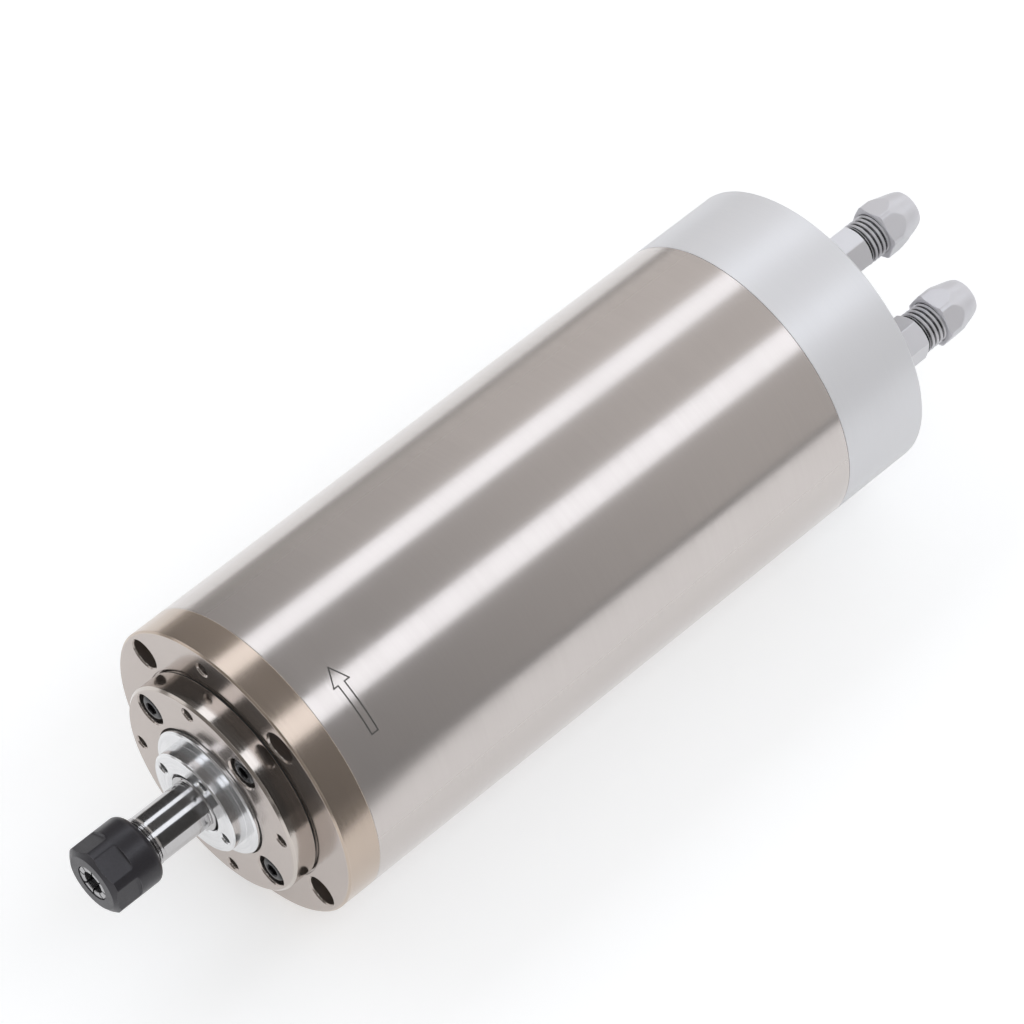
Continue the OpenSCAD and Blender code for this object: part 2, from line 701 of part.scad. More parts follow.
// Hexagonal collet nut with round collar.
module collet_nut() color([0.24, 0.23, 0.25]) difference() {
    intersection() {
        turned([
            [nut_x0, 0], [nut_x0, nut_face_d / 2], [nut_x0 + nut_cone_len, nut_d / 2],
            for (i = [0 : nut_edge_steps])
                let (t = quarter_turn * i / nut_edge_steps)
                    [nut_x1 - nut_edge * (1 - sin(t)), nut_d / 2 - nut_edge * (1 - cos(t))],
            [nut_x1, 0]
        ]);
        union() {
            rotate([nut_corner_angle, 0, 0]) axial(nut_x0)
                cylinder(d = nut_af * hex_ratio, h = nut_hex_len + eps, $fn = hex_sides);
            disc(nut_d, nut_x0 + nut_hex_len, nut_x1);
        }
    }
    turned([
        [nut_x0 - eps, 0], [nut_x0 - eps, nut_mouth_d / 2], [collet_x0, nut_mouth_d / 2],
        [collet_cone_x + jaw_gap, collet_cone_d / 2 + jaw_bevel],
        [collet_cone_x + jaw_gap + jaw_bevel, nut_grip_d / 2],
        [collet_rim_x - jaw_gap - jaw_bevel, nut_grip_d / 2],
        [collet_rim_x - jaw_bevel, nut_cavity_d / 2],
        [nut_cavity_x, nut_cavity_d / 2], [nut_cavity_x, nose_thread_d / 2 + turn_gap],
        [nut_x1 - edge, nose_thread_d / 2 + turn_gap],
        [nut_x1 + eps, nose_thread_d / 2 + edge], [nut_x1 + eps, 0]
    ]);
}

// Bearings, spacers and locknut

module front_bearing_a_outer() color([0.7, 0.7, 0.72])
    outer_race(front_bore_d, front_outer_d, front_ball_d, front_a_x, front_width);

module front_bearing_a_inner() color([0.72, 0.72, 0.74])
    inner_race(front_bore_d, front_outer_d, front_ball_d, front_a_x, front_width);

module front_bearing_a_balls() color([0.85, 0.85, 0.87])
    ball_set(front_bore_d, front_outer_d, front_ball_d, front_balls, front_a_x, front_width);

module front_bearing_a_cage() color([0.62, 0.45, 0.25])
    ball_cage(front_bore_d, front_outer_d, front_ball_d, front_balls, front_a_x, front_width);

module front_bearing_b_outer() color([0.7, 0.7, 0.72])
    outer_race(front_bore_d, front_outer_d, front_ball_d, front_b_x, front_width);

module front_bearing_b_inner() color([0.72, 0.72, 0.74])
    inner_race(front_bore_d, front_outer_d, front_ball_d, front_b_x, front_width);

module front_bearing_b_balls() color([0.85, 0.85, 0.87])
    ball_set(front_bore_d, front_outer_d, front_ball_d, front_balls, front_b_x, front_width);

module front_bearing_b_cage() color([0.62, 0.45, 0.25])
    ball_cage(front_bore_d, front_outer_d, front_ball_d, front_balls, front_b_x, front_width);

// Ground sleeve between the inner rings.
module inner_spacer() color([0.66, 0.66, 0.68])
    ring(
        land_in(front_bore_d, front_outer_d, front_ball_d), front_seat_r,
        front_a_x + front_width, front_b_x
    );

// Ground sleeve between the outer rings.
module outer_spacer() color([0.64, 0.64, 0.66])
    ring(
        front_outer_d / 2, land_out(front_bore_d, front_outer_d, front_ball_d),
        front_a_x + front_width, front_b_x
    );

module rear_bearing_outer() color([0.7, 0.7, 0.72])
    outer_race(rear_bore_d, rear_outer_d, rear_ball_d, rear_x, rear_width);

module rear_bearing_inner() color([0.72, 0.72, 0.74])
    inner_race(rear_bore_d, rear_outer_d, rear_ball_d, rear_x, rear_width);

module rear_bearing_balls() color([0.85, 0.85, 0.87])
    ball_set(rear_bore_d, rear_outer_d, rear_ball_d, rear_balls, rear_x, rear_width);

module rear_bearing_cage() color([0.62, 0.45, 0.25])
    ball_cage(rear_bore_d, rear_outer_d, rear_ball_d, rear_balls, rear_x, rear_width);

// Dished spring washer that loads the rear bearing.
module preload_spring() color([0.45, 0.45, 0.5]) turned([
    [rear_end_x, rear_outer_d / 2 - edge], [rear_end_x + spring_t, rear_outer_d / 2 - edge],
    [spring_x1, tail_pocket_d / 2 + edge], [spring_x1 - spring_t, tail_pocket_d / 2 + edge]
]);

// Slotted locknut behind the rear bearing.
module rear_locknut() color([0.3, 0.3, 0.32]) difference() {
    ring(locknut_d / 2, rear_seat_r + seat_gap, rear_end_x, rear_end_x + locknut_w);
    for (i = [0 : locknut_slots - 1])
        rotate([full_turn * i / locknut_slots, 0, 0])
            translate([rear_end_x - eps, locknut_d / 2 - locknut_slot_depth, -locknut_slot_w / 2])
                cube([locknut_w + 2 * eps, locknut_d, locknut_slot_w]);
}

// Motor

// Laminated rotor stack with holes for the bars.
module rotor_core() color([0.5, 0.5, 0.52]) difference() {
    ring(rotor_r, rotor_bore_r, stack_x0, stack_x1);
    round_axis(rotor_bars, bar_r, 0)
        axial(stack_x0 - eps) cylinder(d = rotor_bar_d + 2 * seat_gap, h = stack_len + 2 * eps);
}

// Cast squirrel cage: bars and two end rings.
module rotor_cage() color([0.8, 0.8, 0.82]) {
    round_axis(rotor_bars, bar_r, 0)
        axial(stack_x0 - eps) cylinder(d = rotor_bar_d, h = stack_len + 2 * eps);
    for (x = [stack_x0 - end_ring_len, stack_x1])
        ring(bar_r + rotor_bar_d / 2 + edge, rotor_bore_r + edge, x, x + end_ring_len);
}

// One slot outline, widened or narrowed by grow.
module slot_shape(grow) {
    translate([stator_bore_r + slot_lip - grow, -slot_w / 2 - grow])
        square([slot_depth - slot_lip + 2 * grow, slot_w + 2 * grow]);
}

// Laminated stator stack with slots.
module stator_core() color([0.42, 0.43, 0.45])
    axial(stack_x0) linear_extrude(height = stack_len) difference() {
        circle(r = jacket_r - seat_gap);
        circle(r = stator_bore_r);
        for (i = [0 : slots - 1]) rotate(full_turn * i / slots) {
            slot_shape(0);
            translate([0, -slot_mouth / 2]) square([stator_bore_r + slot_lip + eps, slot_mouth]);
        }
    }

// Copper bars in the slots and both end turns.
module stator_windings() color([0.72, 0.4, 0.22]) {
    axial(stack_x0 - eps) linear_extrude(height = stack_len + 2 * eps)
        for (i = [0 : slots - 1]) rotate(full_turn * i / slots) slot_shape(-winding_gap);
    for (side = [0, 1])
        translate([side == 0 ? stack_x0 - end_turn_len : stack_x1, 0, 0]) turned([
            [0, end_turn_r0 + end_turn_round], [end_turn_round, end_turn_r0],
            [end_turn_len - end_turn_round, end_turn_r0], [end_turn_len, end_turn_r0 + end_turn_round],
            [end_turn_len, end_turn_r1 - end_turn_round], [end_turn_len - end_turn_round, end_turn_r1],
            [end_turn_round, end_turn_r1], [0, end_turn_r1 - end_turn_round]
        ]);
}

// Body

// Sleeve round the stator with water channels on its outside.
module cooling_jacket() color([0.6, 0.62, 0.64]) difference() {
    ring(barrel_r - seat_gap, jacket_r, jacket_x0, jacket_x1);
    for (i = [0 : channels - 1])
        ring(body_d, barrel_r - channel_depth, channel_x(i), channel_x(i) + channel_w);
    for (i = [0 : channels - 2])
        rotate([channel_link_angle(i), 0, 0])
            translate([channel_x(i) + channel_w / 2, barrel_r - channel_depth + link_step, -channel_w / 2])
                cube([channel_pitch, channel_w, channel_w]);
    for (a = [inlet_angle, outlet_angle])
        rotate([a, 0, 0])
            translate([channel_x(channels - 1) + channel_w / 2, jacket_r + port_floor, -water_bore_d / 2])
                cube([jacket_x1, barrel_wall + jacket_wall, water_bore_d]);
    round_axis(cap_screw_n, cap_screw_pcd / 2, cap_screw_angle)
        axial(cap_screw_x - cap_screw_len - eps) cylinder(d = screw_d + 2 * seat_gap, h = cap_screw_len);
}

channel_pitch = (jacket_x1 - jacket_x0 - 2 * channel_margin - channel_w) / (channels - 1);
function channel_x(i) = jacket_x0 + channel_margin + channel_pitch * i;
function channel_link_angle(i) = (inlet_angle + outlet_angle) / 2 + half_turn * (i % 2);

module front_o_ring() color([0.08, 0.08, 0.08])
    rotate([quarter_turn, 0, quarter_turn]) rotate_extrude()
        translate([barrel_r - o_ring_d / 2, groove_x_front]) circle(d = o_ring_d);

module rear_o_ring() color([0.08, 0.08, 0.08])
    rotate([quarter_turn, 0, quarter_turn]) rotate_extrude()
        translate([barrel_r - o_ring_d / 2, groove_x_rear]) circle(d = o_ring_d);

// Ground stainless barrel tube.
module barrel() color([0.63, 0.61, 0.6]) ring(axis_r, barrel_r, barrel_x0, barrel_x1);

// Rear cap with bearing hub, water ports, connector pocket and screw holes.
module rear_cap() color([0.84, 0.84, 0.86]) difference() {
    turned([
        [cap_hub_x, rear_outer_d / 2 + seat_gap], [cap_hub_x, cap_hub_d / 2], [jacket_x1, cap_hub_d / 2],
        [jacket_x1, spigot_r], [barrel_x1, spigot_r], [barrel_x1, axis_r],
        [body_len - cap_chamfer, axis_r], [body_len, axis_r - cap_chamfer], [body_len, 0],
        [tail_pocket_x, 0], [tail_pocket_x, tail_pocket_d / 2], [spring_x1, tail_pocket_d / 2],
        [spring_x1, rear_outer_d / 2 + seat_gap]
    ]);
    ring(body_d, groove_r, groove_x_rear - groove_w / 2, groove_x_rear + groove_w / 2);
    for (a = [inlet_angle, outlet_angle]) at_place(fitting_r, a) {
        axial(jacket_x1 - eps) cylinder(d = water_bore_d, h = cap_len + cap_spigot);
        axial(body_len - port_thread_len - drill_over)
            cylinder(d = port_thread_d + 2 * seat_gap, h = cap_len);
    }
    at_place(connector_r, connector_angle)
        axial(connector_pocket_x) cylinder(r = connector_r0 + seat_gap, h = cap_len);
    at_place(wire_hole_r, connector_angle)
        axial(jacket_x1 - eps) cylinder(d = wire_hole_d, h = connector_pocket_x - jacket_x1 + drill_over);
    round_axis(cap_screw_n, cap_screw_pcd / 2, cap_screw_angle) {
        axial(jacket_x1 - eps) cylinder(d = screw_d + 2 * turn_gap, h = cap_len + cap_spigot);
        axial(cap_screw_x) cylinder(d = screw_head_d + 2 * head_gap, h = cap_counterbore_depth + eps);
    }
}

// Four long socket screws from the rear face into the jacket.
module cap_screws() color([0.22, 0.22, 0.24])
    round_axis(cap_screw_n, cap_screw_pcd / 2, cap_screw_angle)
        translate([cap_screw_x, 0, 0]) rotate([0, half_turn, 0])
            socket_screw(0, cap_screw_len - screw_tip_gap);

// Water fittings

module sealing_washer(a) at_place(fitting_r, a)
    ring(washer_d / 2, port_thread_d / 2 + seat_gap, body_len, fitting_x0);

module inlet_washer() color([0.3, 0.3, 0.3]) sealing_washer(inlet_angle);

module outlet_washer() color([0.3, 0.3, 0.3]) sealing_washer(outlet_angle);

// Hexagon from x0 to x1 with both ends chamfered.
module chamfered_hex(af, x0, x1, corner) {
    intersection() {
        rotate([corner, 0, 0]) axial(x0)
            cylinder(d = af * hex_ratio, h = x1 - x0, $fn = hex_sides);
        turned([
            [x0, 0], [x0, af / 2 - hex_bevel], [x0 + edge, af / 2 * hex_ratio],
            [x1 - edge, af / 2 * hex_ratio], [x1, af / 2 - hex_bevel], [x1, 0]
        ]);
    }
}

// Fitting body: port thread, hexagon, nut thread and hose stem.
module water_fitting(a, corner) at_place(fitting_r, a) difference() {
    union() {
        disc(port_thread_d / 2, body_len - port_thread_len, fitting_x0 + eps);
        chamfered_hex(fitting_af, fitting_x0, fitting_x1, corner);
        disc(fitting_thread_d / 2, fitting_x1 - eps, fitting_thread_x1);
        turned([
            [fitting_thread_x1 - eps, 0], [fitting_thread_x1 - eps, stem_d / 2],
            [hose_nut_x2 - stem_lead, stem_d / 2], [hose_nut_x2, stem_d / 2 - edge], [hose_nut_x2, 0]
        ]);
    }
    axial(body_len - port_thread_len - eps)
        cylinder(d = water_bore_d, h = hose_nut_x2 - body_len + port_thread_len + 2 * eps);
}

module inlet_fitting() color([0.8, 0.8, 0.82]) water_fitting(inlet_angle, inlet_hex_angle);

module outlet_fitting() color([0.8, 0.8, 0.82]) water_fitting(outlet_angle, outlet_hex_angle);

// Hose nut: hexagon with a tapered nose, bored for thread and hose.
module hose_nut(a, corner) at_place(fitting_r, a) difference() {
    union() {
        intersection() {
            rotate([corner, 0, 0]) axial(hose_nut_x0)
                cylinder(d = hose_nut_af * hex_ratio, h = hose_nut_hex_len, $fn = hex_sides);
            turned([
                [hose_nut_x0, 0], [hose_nut_x0, hose_nut_af / 2 - hex_bevel],
                [hose_nut_x0 + edge, hose_nut_corner_d / 2],
                [hose_nut_x1 - hose_nut_cone_len, hose_nut_corner_d / 2],
                [hose_nut_x1, hose_nut_nose_d / 2], [hose_nut_x1, 0]
            ]);
        }
        turned([
            [hose_nut_x1 - edge, 0], [hose_nut_x1 - edge, hose_nut_nose_d / 2],
            [hose_nut_x1, hose_nut_nose_d / 2], [hose_nut_x2 - hose_nut_round, hose_nut_tip_d / 2],
            [hose_nut_x2, hose_nut_tip_d / 2 - hose_nut_round / 2], [hose_nut_x2, 0]
        ]);
    }
    turned([
        [hose_nut_x0 - eps, 0], [hose_nut_x0 - eps, fitting_thread_d / 2 + turn_gap],
        [fitting_thread_x1 + edge, fitting_thread_d / 2 + turn_gap], [hose_nut_x1, hose_d / 2],
        [hose_nut_x2 + eps, hose_d / 2], [hose_nut_x2 + eps, 0]
    ]);
}

module inlet_hose_nut() color([0.86, 0.86, 0.88]) hose_nut(inlet_angle, inlet_nut_angle);

module outlet_hose_nut() color([0.86, 0.86, 0.88]) hose_nut(outlet_angle, outlet_nut_angle);

// Power connector

module connector_gasket() color([0.1, 0.1, 0.1]) at_place(connector_r, connector_angle)
    ring(connector_flange_d / 2, connector_r0, body_len, connector_x0);

// Round threaded shell with flange.
module connector_shell() color([0.74, 0.74, 0.76]) at_place(connector_r, connector_angle) turned([
    [connector_x0, connector_r0], [connector_x0, connector_flange_d / 2],
    [connector_x0 + connector_flange_t, connector_flange_d / 2],
    [connector_x0 + connector_flange_t, connector_r1], [connector_x1 - edge, connector_r1],
    [connector_x1, connector_r1 - edge], [connector_x1, connector_r0]
]);

// Insulating insert that carries the pins.
module connector_insert() color([0.12, 0.12, 0.12]) at_place(connector_r, connector_angle) difference() {
    disc(connector_r0 - seat_gap, insert_x0, insert_x1);
    round_axis(pin_n, pin_pcd / 2, quarter_turn / 2)
        axial(insert_x0 - eps) cylinder(d = pin_d + 2 * seat_gap, h = insert_x1 - insert_x0 + 2 * eps);
}

module connector_pins() color([0.83, 0.7, 0.4]) at_place(connector_r, connector_angle)
    round_axis(pin_n, pin_pcd / 2, quarter_turn / 2)
        axial(insert_x0) cylinder(d = pin_d, h = insert_x1 - insert_x0 + pin_h);

front_flange();
bearing_cover();
cover_screws();
labyrinth_ring();
shaft();
collet();
collet_nut();
front_bearing_a_outer();
front_bearing_a_inner();
front_bearing_a_balls();
front_bearing_a_cage();
front_bearing_b_outer();
front_bearing_b_inner();
front_bearing_b_balls();
front_bearing_b_cage();
inner_spacer();
outer_spacer();
rear_bearing_outer();
rear_bearing_inner();
rear_bearing_balls();
rear_bearing_cage();
preload_spring();
rear_locknut();
rotor_core();
rotor_cage();
stator_core();
stator_windings();
cooling_jacket();
front_o_ring();
rear_o_ring();
barrel();
rear_cap();
cap_screws();
inlet_washer();
outlet_washer();
inlet_fitting();
outlet_fitting();
inlet_hose_nut();
outlet_hose_nut();
connector_gasket();
connector_shell();
connector_insert();
connector_pins();
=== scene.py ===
"""Studio scene of a water-cooled motor spindle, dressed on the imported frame.

The spindle lies along X, nose toward -X. Lengths in the classes are millimetres and become metres
where a mesh is made. Angles round the axis run from +Y toward +Z, as in the part itself.
"""

import logging
import math
from dataclasses import dataclass, field, replace
from enum import Enum
from typing import Callable, Iterable, Sequence

import bpy
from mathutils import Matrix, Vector


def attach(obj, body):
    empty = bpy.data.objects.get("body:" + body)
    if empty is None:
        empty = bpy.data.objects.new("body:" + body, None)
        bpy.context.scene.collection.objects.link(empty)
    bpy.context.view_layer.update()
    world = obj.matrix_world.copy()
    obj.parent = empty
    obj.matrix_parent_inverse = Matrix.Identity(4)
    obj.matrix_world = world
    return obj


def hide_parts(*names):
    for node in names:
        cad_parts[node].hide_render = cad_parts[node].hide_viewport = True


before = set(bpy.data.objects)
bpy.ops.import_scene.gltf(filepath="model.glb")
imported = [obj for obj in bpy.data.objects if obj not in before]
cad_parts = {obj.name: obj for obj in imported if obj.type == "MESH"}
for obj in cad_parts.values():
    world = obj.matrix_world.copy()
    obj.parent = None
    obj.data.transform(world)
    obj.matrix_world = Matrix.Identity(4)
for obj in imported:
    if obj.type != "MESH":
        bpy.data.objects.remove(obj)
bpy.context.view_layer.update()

LOG = logging.getLogger("spindle_scene")
MM = 0.001
ON_AXIS = 1e-6  # a radius in millimetres below this is a point on the axis
MARKS_ROUND = 1.3  # tool marks per radian round the axis, few, so that they run round it
MARK_STRENGTH = 0.6
COAT_ROUGHNESS = 0.12
BAND_BLUR = (0.00008, 0.00002)  # metres inside the band's radius where it starts and is full

Colour = tuple[float, float, float]
Station = tuple[float, float]
RadiusRule = Callable[[float, float, float], float]


# Finishes


class Lay(Enum):
    """Direction of the tool marks on a metal surface."""

    ROUND = "round the axis"
    FINE = "fine, no direction"


class Sheet:
    """Node sheet of one material, with short calls for the nodes that finishes share."""

    def __init__(self, name: str) -> None:
        """Makes an empty material with its shader and output.

        Args:
            name: the material's name.
        """
        self.material = bpy.data.materials.new(name)
        self.material.use_nodes = True
        self.tree = self.material.node_tree
        self.tree.nodes.clear()
        self.shader = self.tree.nodes.new("ShaderNodeBsdfPrincipled")
        output = self.tree.nodes.new("ShaderNodeOutputMaterial")
        self.tree.links.new(self.shader.outputs["BSDF"], output.inputs["Surface"])

    def join(self, source: bpy.types.NodeSocket, target: bpy.types.NodeSocket) -> None:
        """Links one socket to another."""
        self.tree.links.new(source, target)

    def feed(self, value: object, socket: bpy.types.NodeSocket) -> None:
        """Links value if it is a socket, and sets it as the socket's value otherwise."""
        if isinstance(value, bpy.types.NodeSocket):
            self.join(value, socket)
        else:
            socket.default_value = value

    def math(self, operation: str, first: object, second: object = 0.0) -> bpy.types.NodeSocket:
        """Does arithmetic on sockets or numbers.

        Args:
            operation: Blender's name of the operation.
            first: first socket or number.
            second: second socket or number.

        Returns:
            The result's socket.
        """
        node = self.tree.nodes.new("ShaderNodeMath")
        node.operation = operation
        self.feed(first, node.inputs[0])
        self.feed(second, node.inputs[1])
        return node.outputs[0]

    def place(self, axis: tuple[float, float]) -> tuple[bpy.types.NodeSocket, ...]:
        """Gives the point's place on the piece, measured from a turning axis along X.

        Args:
            axis: y and z of the turning axis in metres.

        Returns:
            Sockets for the point, x, radius and angle.
        """
        coordinate = self.tree.nodes.new("ShaderNodeTexCoord")
        shift = self.tree.nodes.new("ShaderNodeVectorMath")
        shift.operation = "SUBTRACT"
        shift.inputs[1].default_value = (0.0, axis[0], axis[1])
        self.join(coordinate.outputs["Object"], shift.inputs[0])
        parts = self.tree.nodes.new("ShaderNodeSeparateXYZ")
        self.join(shift.outputs[0], parts.inputs[0])
        square = self.math("ADD", self.math("MULTIPLY", parts.outputs[1], parts.outputs[1]),
                           self.math("MULTIPLY", parts.outputs[2], parts.outputs[2]))
        radius = self.math("SQRT", square)
        angle = self.math("ARCTAN2", parts.outputs[2], parts.outputs[1])
        return shift.outputs[0], parts.outputs[0], radius, angle

    def bundle(self, x: object, y: object, z: object) -> bpy.types.NodeSocket:
        """Joins three numbers into one vector socket."""
        node = self.tree.nodes.new("ShaderNodeCombineXYZ")
        for value, socket in zip((x, y, z), node.inputs):
            self.feed(value, socket)
        return node.outputs[0]

    def noise(self, vector: bpy.types.NodeSocket, scale: float, detail: float = 2.0,
              rough: float = 0.5) -> bpy.types.NodeSocket:
        """Makes a noise pattern and gives its strength socket, about 0.5 on average."""
        node = self.tree.nodes.new("ShaderNodeTexNoise")
        node.inputs["Scale"].default_value = scale
        node.inputs["Detail"].default_value = detail
        node.inputs["Roughness"].default_value = rough
        self.join(vector, node.inputs["Vector"])
        return node.outputs[0]

    def window(self, value: bpy.types.NodeSocket, low: float, high: float, new_low: float,
               new_high: float) -> bpy.types.NodeSocket:
        """Maps value from the range low to high onto new_low to new_high, held at both ends."""
        node = self.tree.nodes.new("ShaderNodeMapRange")
        node.inputs["From Min"].default_value = low
        node.inputs["From Max"].default_value = high
        node.inputs["To Min"].default_value = new_low
        node.inputs["To Max"].default_value = new_high
        self.join(value, node.inputs["Value"])
        return node.outputs[0]

    def blend(self, share: bpy.types.NodeSocket, first: object, second: object) -> bpy.types.NodeSocket:
        """Blends two colours by a share from 0 to 1."""
        node = self.tree.nodes.new("ShaderNodeMix")
        node.data_type = "RGBA"
        self.join(share, node.inputs[0])
        for value, socket in ((first, node.inputs[6]), (second, node.inputs[7])):
            self.feed((*value, 1.0) if isinstance(value, tuple) else value, socket)
        return node.outputs[2]

    def relief(self, height: bpy.types.NodeSocket, depth: float, strength: float,
               base: bpy.types.NodeSocket | None = None) -> bpy.types.NodeSocket:
        """Turns a height pattern into a bumped normal.

        Args:
            height: socket of the pattern.
            depth: real depth of the pattern in metres.
            strength: share of that depth that shows.
            base: normal to start from, if any.

        Returns:
            The normal's socket.
        """
        node = self.tree.nodes.new("ShaderNodeBump")
        node.inputs["Strength"].default_value = strength
        node.inputs["Distance"].default_value = depth
        self.join(height, node.inputs["Height"])
        if base is not None:
            self.join(base, node.inputs["Normal"])
        return node.outputs[0]

    def edges(self, width: float) -> tuple[bpy.types.NodeSocket, bpy.types.NodeSocket]:
        """Finds the edges of a piece.

        Args:
            width: width of the rounded edge in metres.

        Returns:
            The rounded normal, and a share that is 1 on edges and 0 on flat places.
        """
        bevel = self.tree.nodes.new("ShaderNodeBevel")
        bevel.samples = 6
        bevel.inputs["Radius"].default_value = width
        geometry = self.tree.nodes.new("ShaderNodeNewGeometry")
        dot = self.tree.nodes.new("ShaderNodeVectorMath")
        dot.operation = "DOT_PRODUCT"
        self.join(bevel.outputs[0], dot.inputs[0])
        self.join(geometry.outputs["Normal"], dot.inputs[1])
        return bevel.outputs[0], self.window(dot.outputs["Value"], 0.80, 0.995, 1.0, 0.0)


@dataclass(frozen=True)
class MetalFinish:
    """Turned, ground or plated metal with tool marks, faint clouds, and rims and chamfers painted brighter, partly
    as edge wear and partly as a painted highlight.

    Outside the band radius the metal has the band's own colour, metallic share and polish.
    """

    name: str
    slot: str
    colour: Colour
    shade: Colour
    # colour of rims and chamfers: partly edge wear, partly a painted highlight
    edge: Colour
    metallic: float
    roughness: float
    roughness_spread: float = 0.05
    lay: Lay = Lay.ROUND
    marks_per_mm: float = 3.0
    mark_share: float = 0.25
    mark_depth: float = 0.000004
    cloud_size: float = 60.0
    cloud_share: float = 0.3
    anisotropy: float = 0.0
    edge_width: float = 0.00012
    edge_wear_and_highlight_share: float = 0.5
    coat: float = 0.0
    band_radius: float = 0.0
    band_colour: Colour = (0.5, 0.5, 0.5)
    band_metallic: float = 1.0
    band_roughness: float = 0.2

    def material(self, axis: tuple[float, float] = (0.0, 0.0)) -> bpy.types.Material:
        """Builds the material.

        Args:
            axis: y and z in metres of the axis that the tool marks run round.

        Returns:
            The new material.
        """
        sheet = Sheet(self.name)
        point, x, radius, angle = sheet.place(axis)
        per_metre = self.marks_per_mm / MM
        if self.lay is Lay.ROUND:
            track = sheet.bundle(sheet.math("MULTIPLY", x, per_metre),
                                 sheet.math("MULTIPLY", radius, per_metre),
                                 sheet.math("MULTIPLY", angle, MARKS_ROUND))
            marks = sheet.noise(track, 1.0, 3.0, 0.6)
        else:
            marks = sheet.noise(point, per_metre, 3.0, 0.6)
        clouds = sheet.noise(point, self.cloud_size, 3.0, 0.55)
        marked = sheet.math("MULTIPLY", sheet.window(marks, 0.3, 0.7, 0.0, 1.0), self.mark_share)
        clouded = sheet.math("MULTIPLY", sheet.window(clouds, 0.35, 0.7, 0.0, 1.0), self.cloud_share)
        worn = sheet.math("ADD", marked, clouded)
        body = sheet.blend(worn, self.colour, self.shade)
        metallic: object = self.metallic
        low, high = self.roughness - self.roughness_spread, self.roughness + self.roughness_spread
        rough = sheet.math("ADD", sheet.window(marks, 0.3, 0.7, low, high),
                           sheet.window(clouds, 0.35, 0.7, 0.0, self.roughness_spread))
        if self.band_radius:
            edge = self.band_radius * MM
            band = sheet.window(radius, edge - BAND_BLUR[0], edge - BAND_BLUR[1], 0.0, 1.0)
            body = sheet.blend(band, body, self.band_colour)
            metallic = sheet.window(band, 0.0, 1.0, self.metallic, self.band_metallic)
            change = self.band_roughness - self.roughness
            rough = sheet.math("ADD", rough, sheet.math("MULTIPLY", band, change))
        # Rims and chamfers take the lighter edge colour, partly as edge wear and partly as a painted highlight.
        rounded, edge_wear_and_highlight_mask = sheet.edges(self.edge_width)
        sheet.join(sheet.blend(sheet.math("MULTIPLY", edge_wear_and_highlight_mask, self.edge_wear_and_highlight_share), body, self.edge),
                   sheet.shader.inputs["Base Color"])
        sheet.join(rough, sheet.shader.inputs["Roughness"])
        bumped = sheet.relief(marks, self.mark_depth, MARK_STRENGTH, rounded)
        sheet.join(bumped, sheet.shader.inputs["Normal"])
        sheet.feed(metallic, sheet.shader.inputs["Metallic"])
        sheet.shader.inputs["Coat Weight"].default_value = self.coat
        sheet.shader.inputs["Coat Roughness"].default_value = COAT_ROUGHNESS
        if self.anisotropy:
            tangent = sheet.tree.nodes.new("ShaderNodeTangent")
            tangent.direction_type = "RADIAL"
            tangent.axis = "X"
            sheet.join(tangent.outputs[0], sheet.shader.inputs["Tangent"])
            sheet.shader.inputs["Anisotropic"].default_value = self.anisotropy
            sheet.shader.inputs["Anisotropic Rotation"].default_value = 0.25
        return sheet.material


@dataclass(frozen=True)
class MouldedFinish:
    """Rubber, phenolic or moulded plastic with a fine grain."""

    name: str
    slot: str
    colour: Colour
    shade: Colour
    roughness: float
    grain_per_mm: float = 4.0
    grain_depth: float = 0.00002

    def material(self, axis: tuple[float, float] = (0.0, 0.0)) -> bpy.types.Material:
        """Builds the material.

        Args:
            axis: y and z in metres of the piece's own axis.

        Returns:
            The new material.
        """
        sheet = Sheet(self.name)
        point, _, _, _ = sheet.place(axis)
        grain = sheet.noise(point, self.grain_per_mm / MM, 4.0, 0.6)
        clouds = sheet.noise(point, 90.0, 2.0, 0.5)
        sheet.join(sheet.blend(sheet.window(clouds, 0.35, 0.65, 0.0, 1.0), self.colour, self.shade),
                   sheet.shader.inputs["Base Color"])
        sheet.join(sheet.window(grain, 0.3, 0.7, self.roughness - 0.08, self.roughness + 0.08),
                   sheet.shader.inputs["Roughness"])
        rounded, _ = sheet.edges(0.0001)
        sheet.join(sheet.relief(grain, self.grain_depth, 0.5, rounded), sheet.shader.inputs["Normal"])
        return sheet.material


FLANGE_NICKEL = MetalFinish(
    "flange_nickel", "nickelled_steel", (0.53, 0.47, 0.435), (0.45, 0.395, 0.365), (0.88, 0.82, 0.72), 0.9,
    0.17, 0.03, marks_per_mm=2.2, mark_share=0.2, mark_depth=0.000002, cloud_size=45.0, cloud_share=0.18,
    edge_wear_and_highlight_share=0.8, edge_width=0.0002, band_radius=39.5, band_colour=(0.55, 0.455, 0.38),
    band_metallic=0.8, band_roughness=0.18)
COVER_NICKEL = replace(
    FLANGE_NICKEL, name="cover_nickel", band_radius=28.45, band_colour=(0.57, 0.52, 0.48),
    band_metallic=0.97, band_roughness=0.13)
GROUND_STAINLESS = MetalFinish(
    "ground_stainless", "ground_stainless", (0.64, 0.595, 0.57), (0.565, 0.52, 0.495), (0.75, 0.72, 0.69),
    0.72, 0.19, 0.035, marks_per_mm=1.6, mark_share=0.22, mark_depth=0.000003, cloud_size=30.0,
    cloud_share=0.12, anisotropy=0.45)
SATIN_ALUMINIUM = MetalFinish(
    "satin_aluminium", "satin_aluminium", (0.8, 0.795, 0.81), (0.75, 0.745, 0.765), (0.9, 0.9, 0.91), 0.27,
    0.38, 0.05, marks_per_mm=2.6, mark_share=0.18, mark_depth=0.000005, cloud_size=40.0, cloud_share=0.14)
